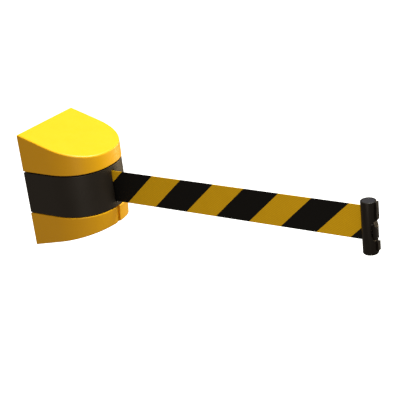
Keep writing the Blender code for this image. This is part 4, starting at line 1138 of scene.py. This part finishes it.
def plug_abs():
    """ABS in dark grey with a matt, faintly turned skin, as a pressed-in blanking plug has."""
    made, tree, shader, place = start_material("plug_abs_matt")
    centred = add_node(tree, "ShaderNodeMapping", {"Vector": place,
        "Location": (0.0, -CLIP_Y, 0.0)})
    rings = add_node(tree, "ShaderNodeTexWave", {"Vector": centred.outputs["Vector"],
        "Scale": 300.0}, wave_type="RINGS", rings_direction="Z")
    tone = add_node(tree, "ShaderNodeMix", {0: rings.outputs["Fac"], 6: srgb("#16161D"),
        7: srgb("#1E1E26")}, data_type="RGBA")
    bump = add_node(tree, "ShaderNodeBump", {"Height": rings.outputs["Fac"], "Strength": 0.15,
        "Distance": 0.0001})
    feed(shader, {"Base Color": tone.outputs[2], "Normal": bump.outputs["Normal"],
        "Roughness": 0.38})
    return made


plug_low, plug_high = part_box("clip_end_plug")
plug_radius = plug_high.x
plug = piece("clip_top_plug", turned([(0, plug_low.z), (plug_radius - 0.0003, plug_low.z),
    (plug_radius, plug_low.z + 0.0003), (plug_radius, plug_high.z - 0.0004),
    (plug_radius - 0.0004, plug_high.z), (0, plug_high.z)], (0, CLIP_Y), 96), plug_abs())
fitted(plug, "clip", "plug_abs", "clip_end_plug")

pin = piece("belt_end_pin", turned([(0, -0.027), (0.0022, -0.027), (0.0026, -0.0266),
    (0.0026, 0.0266), (0.0022, 0.027), (0, 0.027)], (0, BELT_PIN_Y), 48), ZINC_STEEL)
fitted(pin, "clip", "zinc_steel", "belt_pin")

# ----------------------------------------
# Lock lever: the black thumb catch in the scoop. It swings on a steel pin across its top,
# and a small coil spring behind it holds it out.
WIRE_RADIUS = 0.0003
LEVER_SHAPE = [                              # depth in front of the clip's axis, and height
    (0.0056, 0.0040), (0.0054, 0.0), (0.0063, -0.0080), (0.0070, -0.0195), (0.0090, -0.0204),
    (0.0105, -0.0205), (0.0114, -0.0199), (0.0118, -0.0185), (0.0118, -0.0100), (0.0114, -0.0068),
    (0.0108, -0.0040), (0.0100, -0.0010), (0.0092, 0.0020), (0.0087, 0.0034), (0.0080, 0.0042)]
lever = piece("lock_lever_catch", along_x([(CLIP_Y - depth, z) for depth, z in LEVER_SHAPE],
    LEVER_HALF_WIDTH), CLIP_BLACK)
carve(lever, ("INTERSECT", rod(0.0118, -0.03, 0.01, (0, CLIP_Y), 96)),
    along_x(oval(LEVER_PIVOT, (0.0009, 0.0009), 24), 0.02))
fitted(lever, "lock_lever", "clip_abs", "lock_lever")

lever_pin = piece("lever_pin_rod", along_x(oval(LEVER_PIVOT, (0.0006, 0.0006), 24), 0.0078),
    ZINC_STEEL)
fitted(lever_pin, "clip", "zinc_steel", "lever_pin")


def wire_coil_tree():
    """A round wire wound in a helix along the vertical axis."""
    tree, size = new_group("wire_coil", {"Turns": "Float", "Coil Radius": "Float",
        "Coil Height": "Float", "Wire Radius": "Float"})
    line = add_node(tree, "GeometryNodeCurveSpiral", {"Resolution": 32, "Rotations": size["Turns"],
        "Start Radius": size["Coil Radius"], "End Radius": size["Coil Radius"],
        "Height": size["Coil Height"]})
    section = add_node(tree, "GeometryNodeCurvePrimitiveCircle", {"Resolution": 12,
        "Radius": size["Wire Radius"]})
    wire = add_node(tree, "GeometryNodeCurveToMesh", {"Curve": line.outputs["Curve"],
        "Profile Curve": section.outputs["Curve"], "Fill Caps": True})
    return close_group(tree, wire.outputs["Mesh"], size["Finish"])


coil_low, coil_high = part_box("lever_spring")
spring_middle = (coil_low.z + coil_high.z) / 2
facing_front = (Matrix.Translation((0, coil_high.y - WIRE_RADIUS, spring_middle))
    @ Matrix.Rotation(radians(90), 4, "X"))
catch_spring = grown("lever_spring_coil", wire_coil_tree(), {"Turns": 3, "Coil Radius": 0.0018,
    "Coil Height": coil_high.y - coil_low.y - 2 * WIRE_RADIUS, "Wire Radius": WIRE_RADIUS,
    "Finish": BLUED_STEEL}, turn=facing_front)
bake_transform(catch_spring)
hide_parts("lever_spring")
